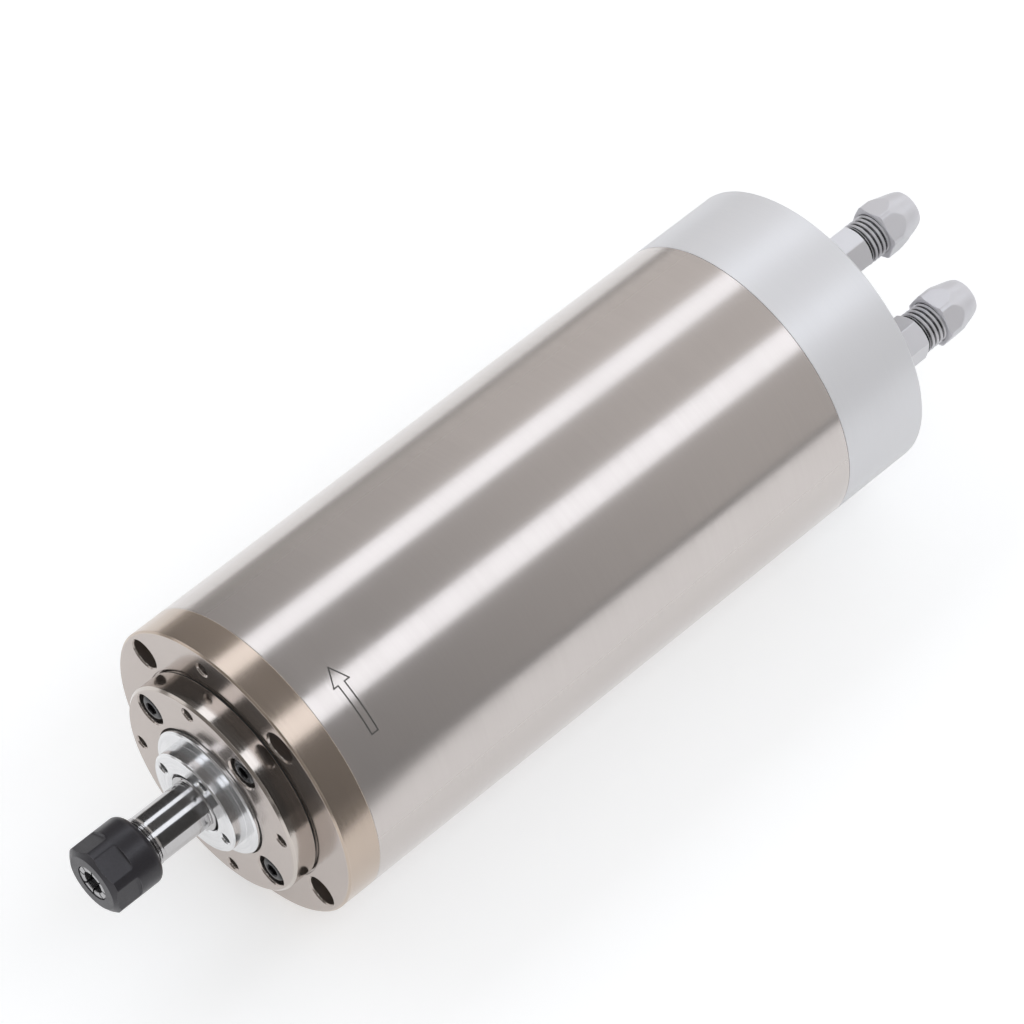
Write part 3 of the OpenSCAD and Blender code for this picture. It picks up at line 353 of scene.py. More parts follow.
TURNED_ALUMINIUM = MetalFinish(
    "turned_aluminium", "turned_aluminium", (0.86, 0.86, 0.865), (0.66, 0.66, 0.67), (0.97, 0.97, 0.97),
    0.9, 0.17, 0.05, marks_per_mm=1.7, mark_share=0.5, mark_depth=0.000006, cloud_size=110.0,
    cloud_share=0.25, anisotropy=0.4, edge_wear_and_highlight_share=0.6, edge_width=0.00015)
POLISHED_STEEL = MetalFinish(
    "polished_steel", "ground_steel", (0.55, 0.54, 0.54), (0.44, 0.43, 0.43), (0.82, 0.82, 0.82), 0.94,
    0.12, 0.03, marks_per_mm=4.0, mark_share=0.25, mark_depth=0.000003, cloud_size=150.0, cloud_share=0.2)
COLLET_STEEL = MetalFinish(
    "collet_steel", "ground_steel", (0.44, 0.435, 0.44), (0.33, 0.325, 0.33), (0.75, 0.75, 0.75), 0.95,
    0.26, 0.05, marks_per_mm=4.0, mark_share=0.3, cloud_size=200.0, cloud_share=0.3)
BLACK_OXIDE = MetalFinish(
    "black_oxide", "black_oxide", (0.047, 0.044, 0.05), (0.03, 0.028, 0.032), (0.22, 0.215, 0.225), 0.3,
    0.33, 0.05, lay=Lay.FINE, marks_per_mm=2.4, mark_share=0.35, mark_depth=0.000014, cloud_size=160.0,
    cloud_share=0.3, edge_wear_and_highlight_share=0.7, edge_width=0.00026)
BLACK_SCREW = MetalFinish(
    "black_screw", "black_screw", (0.014, 0.013, 0.014), (0.009, 0.008, 0.009), (0.07, 0.068, 0.066), 0.35,
    0.2, 0.04, marks_per_mm=4.0, cloud_size=300.0, edge_wear_and_highlight_share=0.5, edge_width=0.00015)
# Below the band radius, in the thread roots and on the faces down there, the colour is painted dark as shade in the
# thread; the hexagon and the thread crests are lighter.
FITTING_NICKEL = MetalFinish(
    "fitting_nickel", "plated_brass", (0.13, 0.127, 0.132), (0.08, 0.078, 0.082), (0.85, 0.85, 0.87), 0.9,
    0.22, 0.03, lay=Lay.FINE, marks_per_mm=1.5, mark_share=0.08, mark_depth=0.0000015, cloud_size=120.0,
    cloud_share=0.15, edge_wear_and_highlight_share=0.35, band_radius=5.3, band_colour=(0.68, 0.67, 0.69), band_metallic=0.42,
    band_roughness=0.34)
NUT_NICKEL = MetalFinish(
    "nut_nickel", "plated_brass", (0.69, 0.68, 0.705), (0.64, 0.63, 0.66), (0.85, 0.85, 0.87), 0.36, 0.36,
    0.04, lay=Lay.FINE, marks_per_mm=1.5, mark_share=0.1, mark_depth=0.0000015, cloud_size=120.0,
    cloud_share=0.2, edge_wear_and_highlight_share=0.4)
BRIGHT_NICKEL = MetalFinish(
    "bright_nickel", "plated_brass", (0.74, 0.735, 0.755), (0.66, 0.655, 0.68), (0.9, 0.9, 0.92), 0.7,
    0.24, 0.04, lay=Lay.FINE, marks_per_mm=1.5, mark_share=0.15, mark_depth=0.000002, cloud_size=200.0,
    cloud_share=0.2, edge_wear_and_highlight_share=0.5)
# Threads inside the small holes: the metal's colour painted much darker, as painted shade in the holes.
SHADED_HOLE_THREAD = MetalFinish(
    "hole_thread_painted_shade", "nickelled_steel", (0.2, 0.185, 0.17), (0.12, 0.11, 0.1), (0.5, 0.47, 0.43), 0.8, 0.4,
    0.05, marks_per_mm=3.0, edge_wear_and_highlight_share=0.4)
SHADED_RING_THREAD = MetalFinish(
    "ring_thread_painted_shade", "turned_aluminium", (0.3, 0.3, 0.3), (0.18, 0.18, 0.18), (0.6, 0.6, 0.6), 0.8, 0.4,
    0.05, marks_per_mm=3.0, edge_wear_and_highlight_share=0.4)
BEARING_STEEL = MetalFinish(
    "bearing_steel", "bearing_steel", (0.62, 0.62, 0.64), (0.5, 0.5, 0.52), (0.85, 0.85, 0.86), 1.0, 0.12,
    0.02)
SPRING_STEEL = MetalFinish(
    "spring_steel", "spring_steel", (0.34, 0.34, 0.38), (0.25, 0.25, 0.28), (0.6, 0.6, 0.63), 0.95, 0.3)
LAMINATION = MetalFinish(
    "lamination", "lamination", (0.34, 0.34, 0.36), (0.22, 0.22, 0.24), (0.5, 0.5, 0.52), 0.9, 0.42,
    marks_per_mm=2.0, mark_share=0.6, mark_depth=0.00003)
CAST_ALUMINIUM = MetalFinish(
    "cast_aluminium", "cast_aluminium", (0.66, 0.66, 0.68), (0.55, 0.55, 0.57), (0.8, 0.8, 0.82), 0.85,
    0.45, lay=Lay.FINE, mark_depth=0.00002)
JACKET_STEEL = MetalFinish(
    "jacket_steel", "jacket_steel", (0.46, 0.48, 0.5), (0.36, 0.38, 0.4), (0.66, 0.68, 0.7), 0.9, 0.32)
ENAMELLED_COPPER = MetalFinish(
    "enamelled_copper", "enamelled_copper", (0.56, 0.2, 0.07), (0.4, 0.13, 0.05), (0.7, 0.35, 0.18), 0.8,
    0.28, marks_per_mm=1.2, mark_share=0.6, mark_depth=0.00006, coat=0.5)
CONTACT_BRASS = MetalFinish(
    "contact_brass", "contact_brass", (0.75, 0.52, 0.2), (0.62, 0.42, 0.15), (0.9, 0.72, 0.4), 0.95, 0.2)
SEAL_RUBBER = MouldedFinish(
    "seal_rubber", "seal_rubber", (0.018, 0.018, 0.018), (0.028, 0.027, 0.026), 0.62)
CAGE_PHENOLIC = MouldedFinish(
    "cage_phenolic", "cage_phenolic", (0.24, 0.13, 0.05), (0.17, 0.09, 0.035), 0.5)
INSULATOR = MouldedFinish(
    "insulator", "insulator", (0.02, 0.02, 0.022), (0.03, 0.03, 0.032), 0.45)
LASER_MARK = MouldedFinish(
    "laser_mark", "ground_stainless", (0.06, 0.055, 0.05), (0.09, 0.083, 0.078), 0.5, 8.0, 0.000002)

Finish = MetalFinish | MouldedFinish


def dress(finish: Finish, *names: str, axis: tuple[float, float] = (0.0, 0.0)) -> None:
    """Gives solids of the frame their finish.

    Args:
        finish: the finish to use.
        *names: names of the solids.
        axis: y and z in millimetres of the axis that their tool marks run round.
    """
    material = finish.material((axis[0] * MM, axis[1] * MM))
    for name in names:
        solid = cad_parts[name]
        solid.data.materials.clear()
        solid.data.materials.append(material)
    LOG.info("dressed %s in %s", ", ".join(names), finish.name)


# Meshes


@dataclass
class Turning:
    """A turned piece whose radius may also change round its axis, as on hexagons, flats and threads.

    The outline is a closed loop of stations (x, radius), so that every mesh is a closed skin.
    """

    name: str
    outline: list[Station]
    axis: tuple[float, float] = (0.0, 0.0)
    segments: int = 192
    step: float = 0.6
    fine: tuple[float, float, float] | None = None
    rule: RadiusRule | None = None
    ruled: int | None = None
    sharp: float = 32.0

    def stations(self) -> list[tuple[float, float, bool]]:
        """Splits the outline's lines into short ones.

        Returns:
            One (x, radius, ruled) for each row of the mesh.
        """
        rows: list[tuple[float, float, bool]] = []
        count = len(self.outline)
        limit = count if self.ruled is None else self.ruled
        for i, (x0, r0) in enumerate(self.outline):
            x1, r1 = self.outline[(i + 1) % count]
            step = self.step
            if self.fine and i < limit and self.fine[0] <= min(x0, x1) and max(x0, x1) <= self.fine[1]:
                step = self.fine[2]
            cuts = max(1, math.ceil(math.hypot(x1 - x0, r1 - r0) / step))
            for k in range(cuts):
                rows.append((x0 + (x1 - x0) * k / cuts, r0 + (r1 - r0) * k / cuts, i < limit))
        return rows

    def build(self, finish: Finish, body: str, *stands_for: str) -> bpy.types.Object:
        """Makes the mesh, dresses it and puts it on its body.

        Args:
            finish: the finish to use.
            body: the body that carries the piece.
            *stands_for: solids that the piece replaces.

        Returns:
            The new object.
        """
        points: list[tuple[float, float, float]] = []
        starts: list[tuple[int, bool]] = []
        for x, radius, ruled in self.stations():
            starts.append((len(points), radius < ON_AXIS))
            turns = 1 if radius < ON_AXIS else self.segments
            for k in range(turns):
                angle = 2 * math.pi * k / self.segments
                r = self.rule(x, angle, radius) if self.rule and ruled else radius
                points.append((x * MM, (self.axis[0] + r * math.cos(angle)) * MM,
                               (self.axis[1] + r * math.sin(angle)) * MM))
        faces: list[tuple[int, ...]] = []
        for i, (a, a_pole) in enumerate(starts):
            b, b_pole = starts[(i + 1) % len(starts)]
            for k in range(self.segments):
                n = (k + 1) % self.segments
                if a_pole and b_pole:
                    continue
                if a_pole:
                    faces.append((a, b + k, b + n))
                elif b_pole:
                    faces.append((a + n, a + k, b))
                else:
                    faces.append((a + n, a + k, b + k, b + n))
        return finish_mesh(self.name, points, faces, finish, body, stands_for, self.axis, self.sharp)


def finish_mesh(name: str, points: Sequence[Sequence[float]], faces: Sequence[Sequence[int]],
                finish: Finish, body: str, stands_for: Iterable[str], axis: tuple[float, float],
                sharp: float) -> bpy.types.Object:
    """Makes an object of points and faces, shades it smooth between its sharp edges and puts it on a body.

    Args:
        name: the piece's name.
        points: corners in metres.
        faces: faces as corner numbers.
        finish: the finish to use.
        body: the body that carries the piece.
        stands_for: solids that the piece replaces.
        axis: y and z in millimetres of the axis that the tool marks run round.
        sharp: angle in degrees from which an edge is sharp.

    Returns:
        The new object.
    """
    mesh = bpy.data.meshes.new(name)
    mesh.from_pydata([tuple(p) for p in points], [], [tuple(f) for f in faces])
    mesh.validate()
    mesh.shade_smooth()
    mesh.set_sharp_from_angle(angle=math.radians(sharp))
    mesh.materials.append(finish.material((axis[0] * MM, axis[1] * MM)))
    piece = bpy.data.objects.new(name, mesh)
    bpy.context.scene.collection.objects.link(piece)
    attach(piece, body)
    names = list(stands_for)
    if names:
        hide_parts(*names)
    LOG.info("built %s: %d faces on %s", name, len(faces), body)
    return piece


def hexagon(across: float, corner: float) -> Callable[[float], float]:
    """Gives the radius of a hexagon at any angle.

    Args:
        across: size across flats in millimetres.
        corner: angle of one corner in degrees.

    Returns:
        A function from angle in radians to radius in millimetres.
    """
    def radius(angle: float) -> float:
        turn = (math.degrees(angle) - corner - 30.0 + 30.0) % 60.0 - 30.0
        return across / 2 / math.cos(math.radians(turn))

    return radius


def thread_depth(x: float, angle: float, pitch: float, depth: float) -> float:
    """Gives how far a right-handed thread's groove goes below its crest.

    Args:
        x: place along the axis in millimetres.
        angle: angle round the axis in radians.
        pitch: distance from crest to crest.
        depth: depth of the groove.

    Returns:
        The depth at that point in millimetres.
    """
    turn = (x / pitch - angle / (2 * math.pi)) % 1.0
    wave = abs(turn - 0.5) * 2
    return depth * min(1.0, max(0.0, (wave - 0.12) / 0.76))


# Studio


def empty_material(name: str) -> bpy.types.Material:
    """Makes a material with an empty node tree."""
    material = bpy.data.materials.new(name)
    material.use_nodes = True
    material.node_tree.nodes.clear()
    return material


def not_diffuse(tree: bpy.types.NodeTree) -> bpy.types.NodeSocket:
    """Finds the rays that show a thing as it looks: seen, mirrored or through glass.

    Args:
        tree: node tree that gets the nodes.

    Returns:
        A socket that is 1 for such rays and 0 for rays of soft light.
    """
    rays = tree.nodes.new("ShaderNodeLightPath")
    share = rays.outputs["Is Camera Ray"]
    for kind in ("Is Glossy Ray", "Is Transmission Ray"):
        either = tree.nodes.new("ShaderNodeMath")
        either.operation = "MAXIMUM"
        tree.links.new(share, either.inputs[0])
        tree.links.new(rays.outputs[kind], either.inputs[1])
        share = either.outputs[0]
    return share


def stage_piece(name: str, corners: Sequence[Sequence[float]], faces: Sequence[Sequence[int]],
                material: bpy.types.Material) -> bpy.types.Object:
    """Makes a flat piece of the studio, which isn't part of the spindle.

    Args:
        name: the piece's name.
        corners: its corners in metres.
        faces: its faces as corner numbers.
        material: its material.

    Returns:
        The new object.
    """
    mesh = bpy.data.meshes.new(name)
    mesh.from_pydata([tuple(c) for c in corners], [], [tuple(f) for f in faces])
    mesh.materials.append(material)
    piece = bpy.data.objects.new(name, mesh)
    bpy.context.scene.collection.objects.link(piece)
    LOG.info("placed %s", name)
    return piece


@dataclass
class Studio:
    """Plain pale floor, two long softboxes, dark flags round them, white surround and the camera."""

    camera_place: tuple[float, float, float] = (-0.392167, -0.499841, 0.951996)
    camera_aim: tuple[float, float, float] = (0.41423, 0.42932, -0.80256)
    lens: float = 172.681
    floor_z: float = -0.0401
    floor_size: float = 3.0
    flag_radius: float = 1.25
    card_x: tuple[float, float] = (-0.7, 1.9)
    flag_arcs: list[tuple[float, float, float]] = field(default_factory=lambda: [
        (-6.0, 49.0, 0.02), (49.0, 67.0, 1.75), (67.0, 108.0, 0.06), (108.0, 127.5, 1.75), (127.5, 186.0, 0.03)])
    flag_steps: list[tuple[float, float]] = field(default_factory=lambda: [
        (0.33, 0.69), (0.0, 0.0), (0.1, 0.62), (0.0, 0.0), (0.03, 0.52)])
    step_x: tuple[float, float, float] = (0.455, 0.475, 0.74)
    floor_flags: list[tuple[list[Station], float]] = field(default_factory=lambda: [
        ([(-1.7, 0.32), (1.9, 0.32), (1.9, 1.25), (-1.7, 1.25)], 0.34),
        ([(-1.7, -1.25), (1.9, -1.25), (1.9, -0.42), (0.22, -0.42), (0.04, -0.15), (-1.7, -0.15)], 0.13)])
    end_flag: tuple[float, float, float, float] = (-1.3, 1.3, 1.4, 0.22)
    flag_lift: float = 0.0005
    surround_level: float = 0.62
    paper_shade: float = 0.69
    paper_glow: float = 0.46
    softbox_tint: Colour = (0.965, 1.0, 1.055)
    flag_tint: Colour = (1.0, 0.955, 0.92)

    def glow(self, name: str, level: float, steps: Station | None) -> bpy.types.Material:
        """Makes a glowing material, which may grow brighter toward the spindle's rear.

        Args:
            name: the material's name.
            level: brightness, where 1 is white.
            steps: its levels beside the barrel's front and rear, if it grows brighter toward +X.

        Returns:
            The new material.
        """
        material = empty_material(name)
        tree = material.node_tree
        glow = tree.nodes.new("ShaderNodeEmission")
        glow.inputs["Color"].default_value = (*(self.softbox_tint if level > 1 else self.flag_tint), 1.0)
        glow.inputs["Strength"].default_value = level
        if steps:
            geometry = tree.nodes.new("ShaderNodeNewGeometry")
            parts = tree.nodes.new("ShaderNodeSeparateXYZ")
            tree.links.new(geometry.outputs["Position"], parts.inputs[0])
            total = tree.nodes.new("ShaderNodeMath")
            ranges = ((self.step_x[0], self.step_x[1], level, steps[0]),
                      (self.step_x[1], self.step_x[2], 0.0, steps[1] - steps[0]))
            for i, (x0, x1, low, high) in enumerate(ranges):
                rise = tree.nodes.new("ShaderNodeMapRange")
                rise.inputs["From Min"].default_value = x0
                rise.inputs["From Max"].default_value = x1
                rise.inputs["To Min"].default_value = low
                rise.inputs["To Max"].default_value = high
                tree.links.new(parts.outputs[0], rise.inputs["Value"])
                tree.links.new(rise.outputs[0], total.inputs[i])
            tree.links.new(total.outputs[0], glow.inputs["Strength"])
        output = tree.nodes.new("ShaderNodeOutputMaterial")
        tree.links.new(glow.outputs[0], output.inputs["Surface"])
        return material

    def card(self, name: str, corners: Sequence[Sequence[float]], faces: Sequence[Sequence[int]],
             level: float, lights: bool, steps: Station | None = None) -> None:
        """Makes a card of the studio that only shows in reflections, or also lights the object.

        Args:
            name: the card's name.
            corners: its corners in metres.
            faces: its faces as corner numbers.
            level: its brightness.
            lights: True for a softbox, False for a flag.
            steps: its levels beside the barrel's front and rear, if it grows brighter toward +X.
        """
        card = stage_piece(name, corners, faces, self.glow(name, level, steps))
        card.visible_camera = False
        card.visible_diffuse = lights
        card.visible_shadow = False
        card.visible_transmission = False

    def cards(self) -> None:
        """Places the softboxes and flags in a half tunnel round the spindle."""
        for i, (start, end, level) in enumerate(self.flag_arcs):
            cuts = max(2, math.ceil((end - start) / 4))
            corners, faces = [], []
            for k in range(cuts + 1):
                turn = math.radians(start + (end - start) * k / cuts)
                for x in self.card_x:
                    corners.append((x, self.flag_radius * math.cos(turn), self.flag_radius * math.sin(turn)))
            for k in range(cuts):
                faces.append((2 * k, 2 * k + 1, 2 * k + 3, 2 * k + 2))
            name = f"softbox_{i}" if level > 1 else f"flag_{i}"
            self.card(name, corners, faces, level, level > 1, None if level > 1 else self.flag_steps[i])
        x, half, top, level = self.end_flag
        corners = [(x, -half, 0.0), (x, half, 0.0), (x, half, top), (x, -half, top)]
        self.card("end_flag", corners, [(0, 1, 2, 3)], level, False)
        for i, (outline, level) in enumerate(self.floor_flags):
            corners = [(x, y, self.floor_z + self.flag_lift) for x, y in outline]
            self.card(f"floor_flag_{i}", corners, [tuple(range(len(corners)))], level, False)

    def floor(self) -> None:
        """Makes the pale floor, which keeps the object's shadow and lets rays from below through."""
        material = empty_material("floor_paper")
        tree = material.node_tree
        paper = tree.nodes.new("ShaderNodeBsdfDiffuse")
        paper.inputs["Color"].default_value = (self.paper_shade,) * 3 + (1.0,)
        glow = tree.nodes.new("ShaderNodeEmission")
        glow.inputs["Strength"].default_value = self.paper_glow
        bright = tree.nodes.new("ShaderNodeAddShader")
        tree.links.new(paper.outputs[0], bright.inputs[0])
        tree.links.new(glow.outputs[0], bright.inputs[1])
        top = tree.nodes.new("ShaderNodeMixShader")
        tree.links.new(not_diffuse(tree), top.inputs[0])
        tree.links.new(paper.outputs[0], top.inputs[1])
        tree.links.new(bright.outputs[0], top.inputs[2])
        clear = tree.nodes.new("ShaderNodeBsdfTransparent")
        geometry = tree.nodes.new("ShaderNodeNewGeometry")
        both_sides = tree.nodes.new("ShaderNodeMixShader")
        tree.links.new(geometry.outputs["Backfacing"], both_sides.inputs[0])
        tree.links.new(top.outputs[0], both_sides.inputs[1])
        tree.links.new(clear.outputs[0], both_sides.inputs[2])
        output = tree.nodes.new("ShaderNodeOutputMaterial")
        tree.links.new(both_sides.outputs[0], output.inputs["Surface"])
        half = self.floor_size
        corners = [(x, y, self.floor_z) for y in (-half, half) for x in (-half, half)]
        stage_piece("floor", corners, [(0, 1, 3, 2)], material)

    def surround(self) -> None:
        """Makes the white surround, a little dimmer as a source of light than as a background."""
        world = bpy.data.worlds.new("surround")
        bpy.context.scene.world = world
        world.use_nodes = True
        tree = world.node_tree
        tree.nodes.clear()
        level = tree.nodes.new("ShaderNodeMapRange")
        level.inputs["To Min"].default_value = self.surround_level
        level.inputs["To Max"].default_value = 1.0
        back = tree.nodes.new("ShaderNodeBackground")
        back.inputs["Color"].default_value = (1.0, 1.0, 1.0, 1.0)
        output = tree.nodes.new("ShaderNodeOutputWorld")
        tree.links.new(not_diffuse(tree), level.inputs["Value"])
        tree.links.new(level.outputs[0], back.inputs["Strength"])
        tree.links.new(back.outputs[0], output.inputs["Surface"])

    def camera(self) -> None:
        """Places the camera at the photograph's viewing angle."""
        data = bpy.data.cameras.new("camera")
        data.lens = self.lens
        data.sensor_width = 36.0
        data.clip_start = 0.05
        data.clip_end = 20.0
        camera = bpy.data.objects.new("camera", data)
        bpy.context.scene.collection.objects.link(camera)
        camera.location = Vector(self.camera_place)
        camera.rotation_mode = "QUATERNION"
        camera.rotation_quaternion = Vector(self.camera_aim).to_track_quat("-Z", "Y")
        bpy.context.scene.camera = camera

    def build(self) -> None:
        """Builds the whole studio."""
        bpy.context.scene.view_settings.view_transform = "Standard"
        self.surround()
        self.floor()
        self.cards()
        self.camera()


# Sub-assemblies


@dataclass
class Barrel:
    """Ground barrel tube with the outline of a rotation arrow."""

    front: float = 9.4
    rear: float = 165.4
    radius: float = 40.0
    bore: float = 36.5
    chamfer: float = 0.18
    arrow_tip: float = 109.6
    arrow_head: float = 116.3
    arrow_tail: float = 135.8
    arrow_x: tuple[float, float] = (17.0, 21.7)
    stem_x: tuple[float, float] = (18.3, 20.2)
    line: float = 0.34

    def tube(self) -> None:
        """Builds the tube with its fine end chamfers."""
        c = self.chamfer
        outline = [(self.front, self.bore), (self.front, self.radius - c), (self.front + c, self.radius),
                   (self.rear - c, self.radius), (self.rear, self.radius - c), (self.rear, self.bore)]
        Turning("barrel_tube", outline, segments=360, step=20.0).build(GROUND_STAINLESS, "body", "barrel")

    def arrow(self) -> None:
        """Builds the thin marked line of the rotation arrow."""
        middle = (self.stem_x[0] + self.stem_x[1]) / 2
        path = [(self.stem_x[0], self.arrow_tail), (self.stem_x[0], self.arrow_head),
                (self.arrow_x[0], self.arrow_head), (middle, self.arrow_tip), (self.arrow_x[1], self.arrow_head),
                (self.stem_x[1], self.arrow_head), (self.stem_x[1], self.arrow_tail)]
        per_degree = math.pi * self.radius / 180
        flat = [Vector((x, a * per_degree)) for x, a in path]
        points: list[tuple[float, float, float]] = []
        faces: list[tuple[int, ...]] = []
        for i, start in enumerate(flat):
            end = flat[(i + 1) % len(flat)]
            along = (end - start).normalized()
            side = Vector((-along.y, along.x)) * self.line / 2
            reach = along * self.line / 2
            cuts = max(1, math.ceil((end - start).length / 0.8))
            first = len(points)
            for k in range(cuts + 1):
                middle_point = (start - reach).lerp(end + reach, k / cuts)
                for edge in (middle_point + side, middle_point - side):
                    turn = math.radians(edge.y / per_degree)
                    lift = self.radius + 0.012 + 0.0015 * i
                    points.append((edge.x * MM, lift * math.cos(turn) * MM, lift * math.sin(turn) * MM))
            for k in range(cuts):
                a = first + 2 * k
                faces.append((a, a + 1, a + 3, a + 2))
        finish_mesh("rotation_arrow", points, faces, LASER_MARK, "body", (), (0.0, 0.0), 40.0)

    def build(self) -> None:
        """Builds the tube and its mark."""
        self.tube()
        self.arrow()


@dataclass
class SocketScrew:
    """Socket head screw with chamfered, knurled head and hexagon socket, along X."""

    head: float = 7.0
    height: float = 4.0
    shank: float = 4.0
    socket: float = 3.0
    socket_depth: float = 2.0
    knurl: float = 0.1
    ridges: int = 36

    def build(self, name: str, seat: float, reach: float, axis: tuple[float, float], body: str,
              stands_for: Sequence[str], turn: float, flip: bool) -> bpy.types.Object:
        """Builds one screw.

        Args:
            name: the piece's name.
            seat: x of the face that the head rests on.
            reach: length of the shank.
            axis: y and z of the screw's own axis.
            body: the body that carries it.
            stands_for: solids that it replaces, if any.
            turn: angle of the socket in degrees.
            flip: True if the head points toward +X.

        Returns:
            The new object.
        """
        way = -1.0 if flip else 1.0
        top = seat - way * self.height
        half = self.head / 2
        hole = hexagon(self.socket, turn)
        bottom = top + way * self.socket_depth
        cone = self.socket / 2 * 1.02

        def rule(x: float, angle: float, radius: float) -> float:
            """Shapes the knurled head and the hexagonal socket."""
            depth = (x - top) * way
            if radius > half - 0.5 and 0.65 < depth < self.height - 0.3:
                wave = abs((angle * self.ridges / (2 * math.pi)) % 1.0 - 0.5) * 2
                return radius - self.knurl * wave
            if 0.2 <= depth <= self.socket_depth and abs(radius - cone) < 1e-6:
                return hole(angle)
            return radius

        outline = [(bottom + way * 0.5, 0.0), (bottom, cone), (top + way * 0.22, cone), (top, cone * 1.22),
                   (top, half - 0.95), (top + way * 0.14, half - 0.5), (top + way * 0.55, half),
                   (top + way * 0.6, half), (seat - way * 0.3, half), (seat, half), (seat, self.shank / 2),
                   (seat + way * reach, self.shank / 2), (seat + way * reach, 0.0)]
        if flip:
            outline.reverse()
        screw = Turning(name, outline, axis, 144, 1.0, rule=rule, sharp=28.0)
        return screw.build(BLACK_SCREW, body, *stands_for)


@dataclass
class TappedHole:
    """Turns of thread seen inside a small open hole."""

    radius: float = 1.65
    crest: float = 1.32
    pitch: float = 0.7

    def build(self, name: str, mouth: float, depth: float, places: Sequence[tuple[float, float]], body: str,
              finish: Finish) -> None:
        """Builds the thread sleeves of one pattern of holes.

        Args:
            name: the piece's name.
            mouth: x of the hole's mouth.
            depth: length of the thread.
            places: y and z of each hole's axis.
            body: the body that carries them.
            finish: the finish to use.
        """
        for i, axis in enumerate(places):
            start, end = mouth + 1.1, mouth + 1.1 + depth
            inner = self.crest

            def rule(x: float, angle: float, radius: float) -> float:
                """Cuts the thread into the sleeve's inside."""
                if radius > inner + 0.01:
                    return radius
                return inner + thread_depth(x, angle, self.pitch, self.radius - inner - 0.03)

            outer = self.radius - 0.005
            outline = [(start, inner), (start, outer), (end, outer), (end, inner)]
            Turning(f"{name}_{i}", outline, axis, 60, 0.1, rule=rule, sharp=50.0).build(finish, body)


def ring_of(count: int, radius: float, start: float) -> list[tuple[float, float]]:
    """Gives evenly spread places round the spindle axis.

    Args:
        count: number of places.
        radius: distance from the axis in millimetres.
        start: angle of the first place in degrees.

    Returns:
        y and z of each place.
    """
    turns = [math.radians(start + 360.0 * i / count) for i in range(count)]
    return [(radius * math.cos(t), radius * math.sin(t)) for t in turns]


@dataclass
class FrontEnd:
    """Flange, bearing cover with its screws and holes, and the labyrinth ring."""

    hole_angle: float = 31.0
    screw_radius: float = 23.4
    tap_radius: float = 25.3
    jack_radius: float = 34.4
    cover_face: float = -7.0
    screw_seat: float = -2.6
    screw_reach: float = 9.0
    ring_face: float = -12.1
    ring_hole_radius: float = 11.0
    ring_hole_angle: float = 17.7
    # outline of the dark bead that fills the groove between cover and flange, as painted shade
    groove_shade_bead_outline: list[Station] = field(default_factory=lambda: [
        (-0.57, 28.4), (-0.57, 28.72), (-0.42, 28.86), (-0.2, 28.86), (-0.03, 28.72), (-0.03, 28.4)])

    def screws(self) -> None:
        """Builds the four screws of the bearing cover."""
        for i, axis in enumerate(ring_of(4, self.screw_radius, self.hole_angle)):
            SocketScrew().build(f"cover_screw_{i}", self.screw_seat, self.screw_reach, axis, "body",
                                ("cover_screws",) if i == 0 else (), 12.0 + 37.0 * i, False)

    def threads(self) -> None:
        """Builds the threads inside the small holes of cover, flange and ring, painted darker than their metal as
        shade in the holes.
        """
        between = self.hole_angle + 45.0
        TappedHole().build("cover_tap", self.cover_face, 3.2, ring_of(4, self.tap_radius, between), "body",
                           SHADED_HOLE_THREAD)
        TappedHole().build("jack_tap", 0.0, 4.5, ring_of(2, self.jack_radius, between), "body", SHADED_HOLE_THREAD)
        TappedHole(1.4, 1.12, 0.5).build("ring_tap", self.ring_face, 1.7,
                                         ring_of(4, self.ring_hole_radius, self.ring_hole_angle), "rotor",
                                         SHADED_RING_THREAD)

    def groove_shade_bead(self) -> None:
        """Builds a dark rubber bead in the groove between cover and flange, a dark piece put there as painted shade
        of the groove.
        """
        Turning("cover_groove_shade_bead", self.groove_shade_bead_outline, segments=240, step=0.3, sharp=60.0).build(SEAL_RUBBER, "body")

    def build(self) -> None:
        """Dresses the solids and builds the details."""
        dress(FLANGE_NICKEL, "front_flange")
        dress(COVER_NICKEL, "bearing_cover")
        dress(TURNED_ALUMINIUM, "labyrinth_ring")
        self.groove_shade_bead()
        self.screws()
        self.threads()


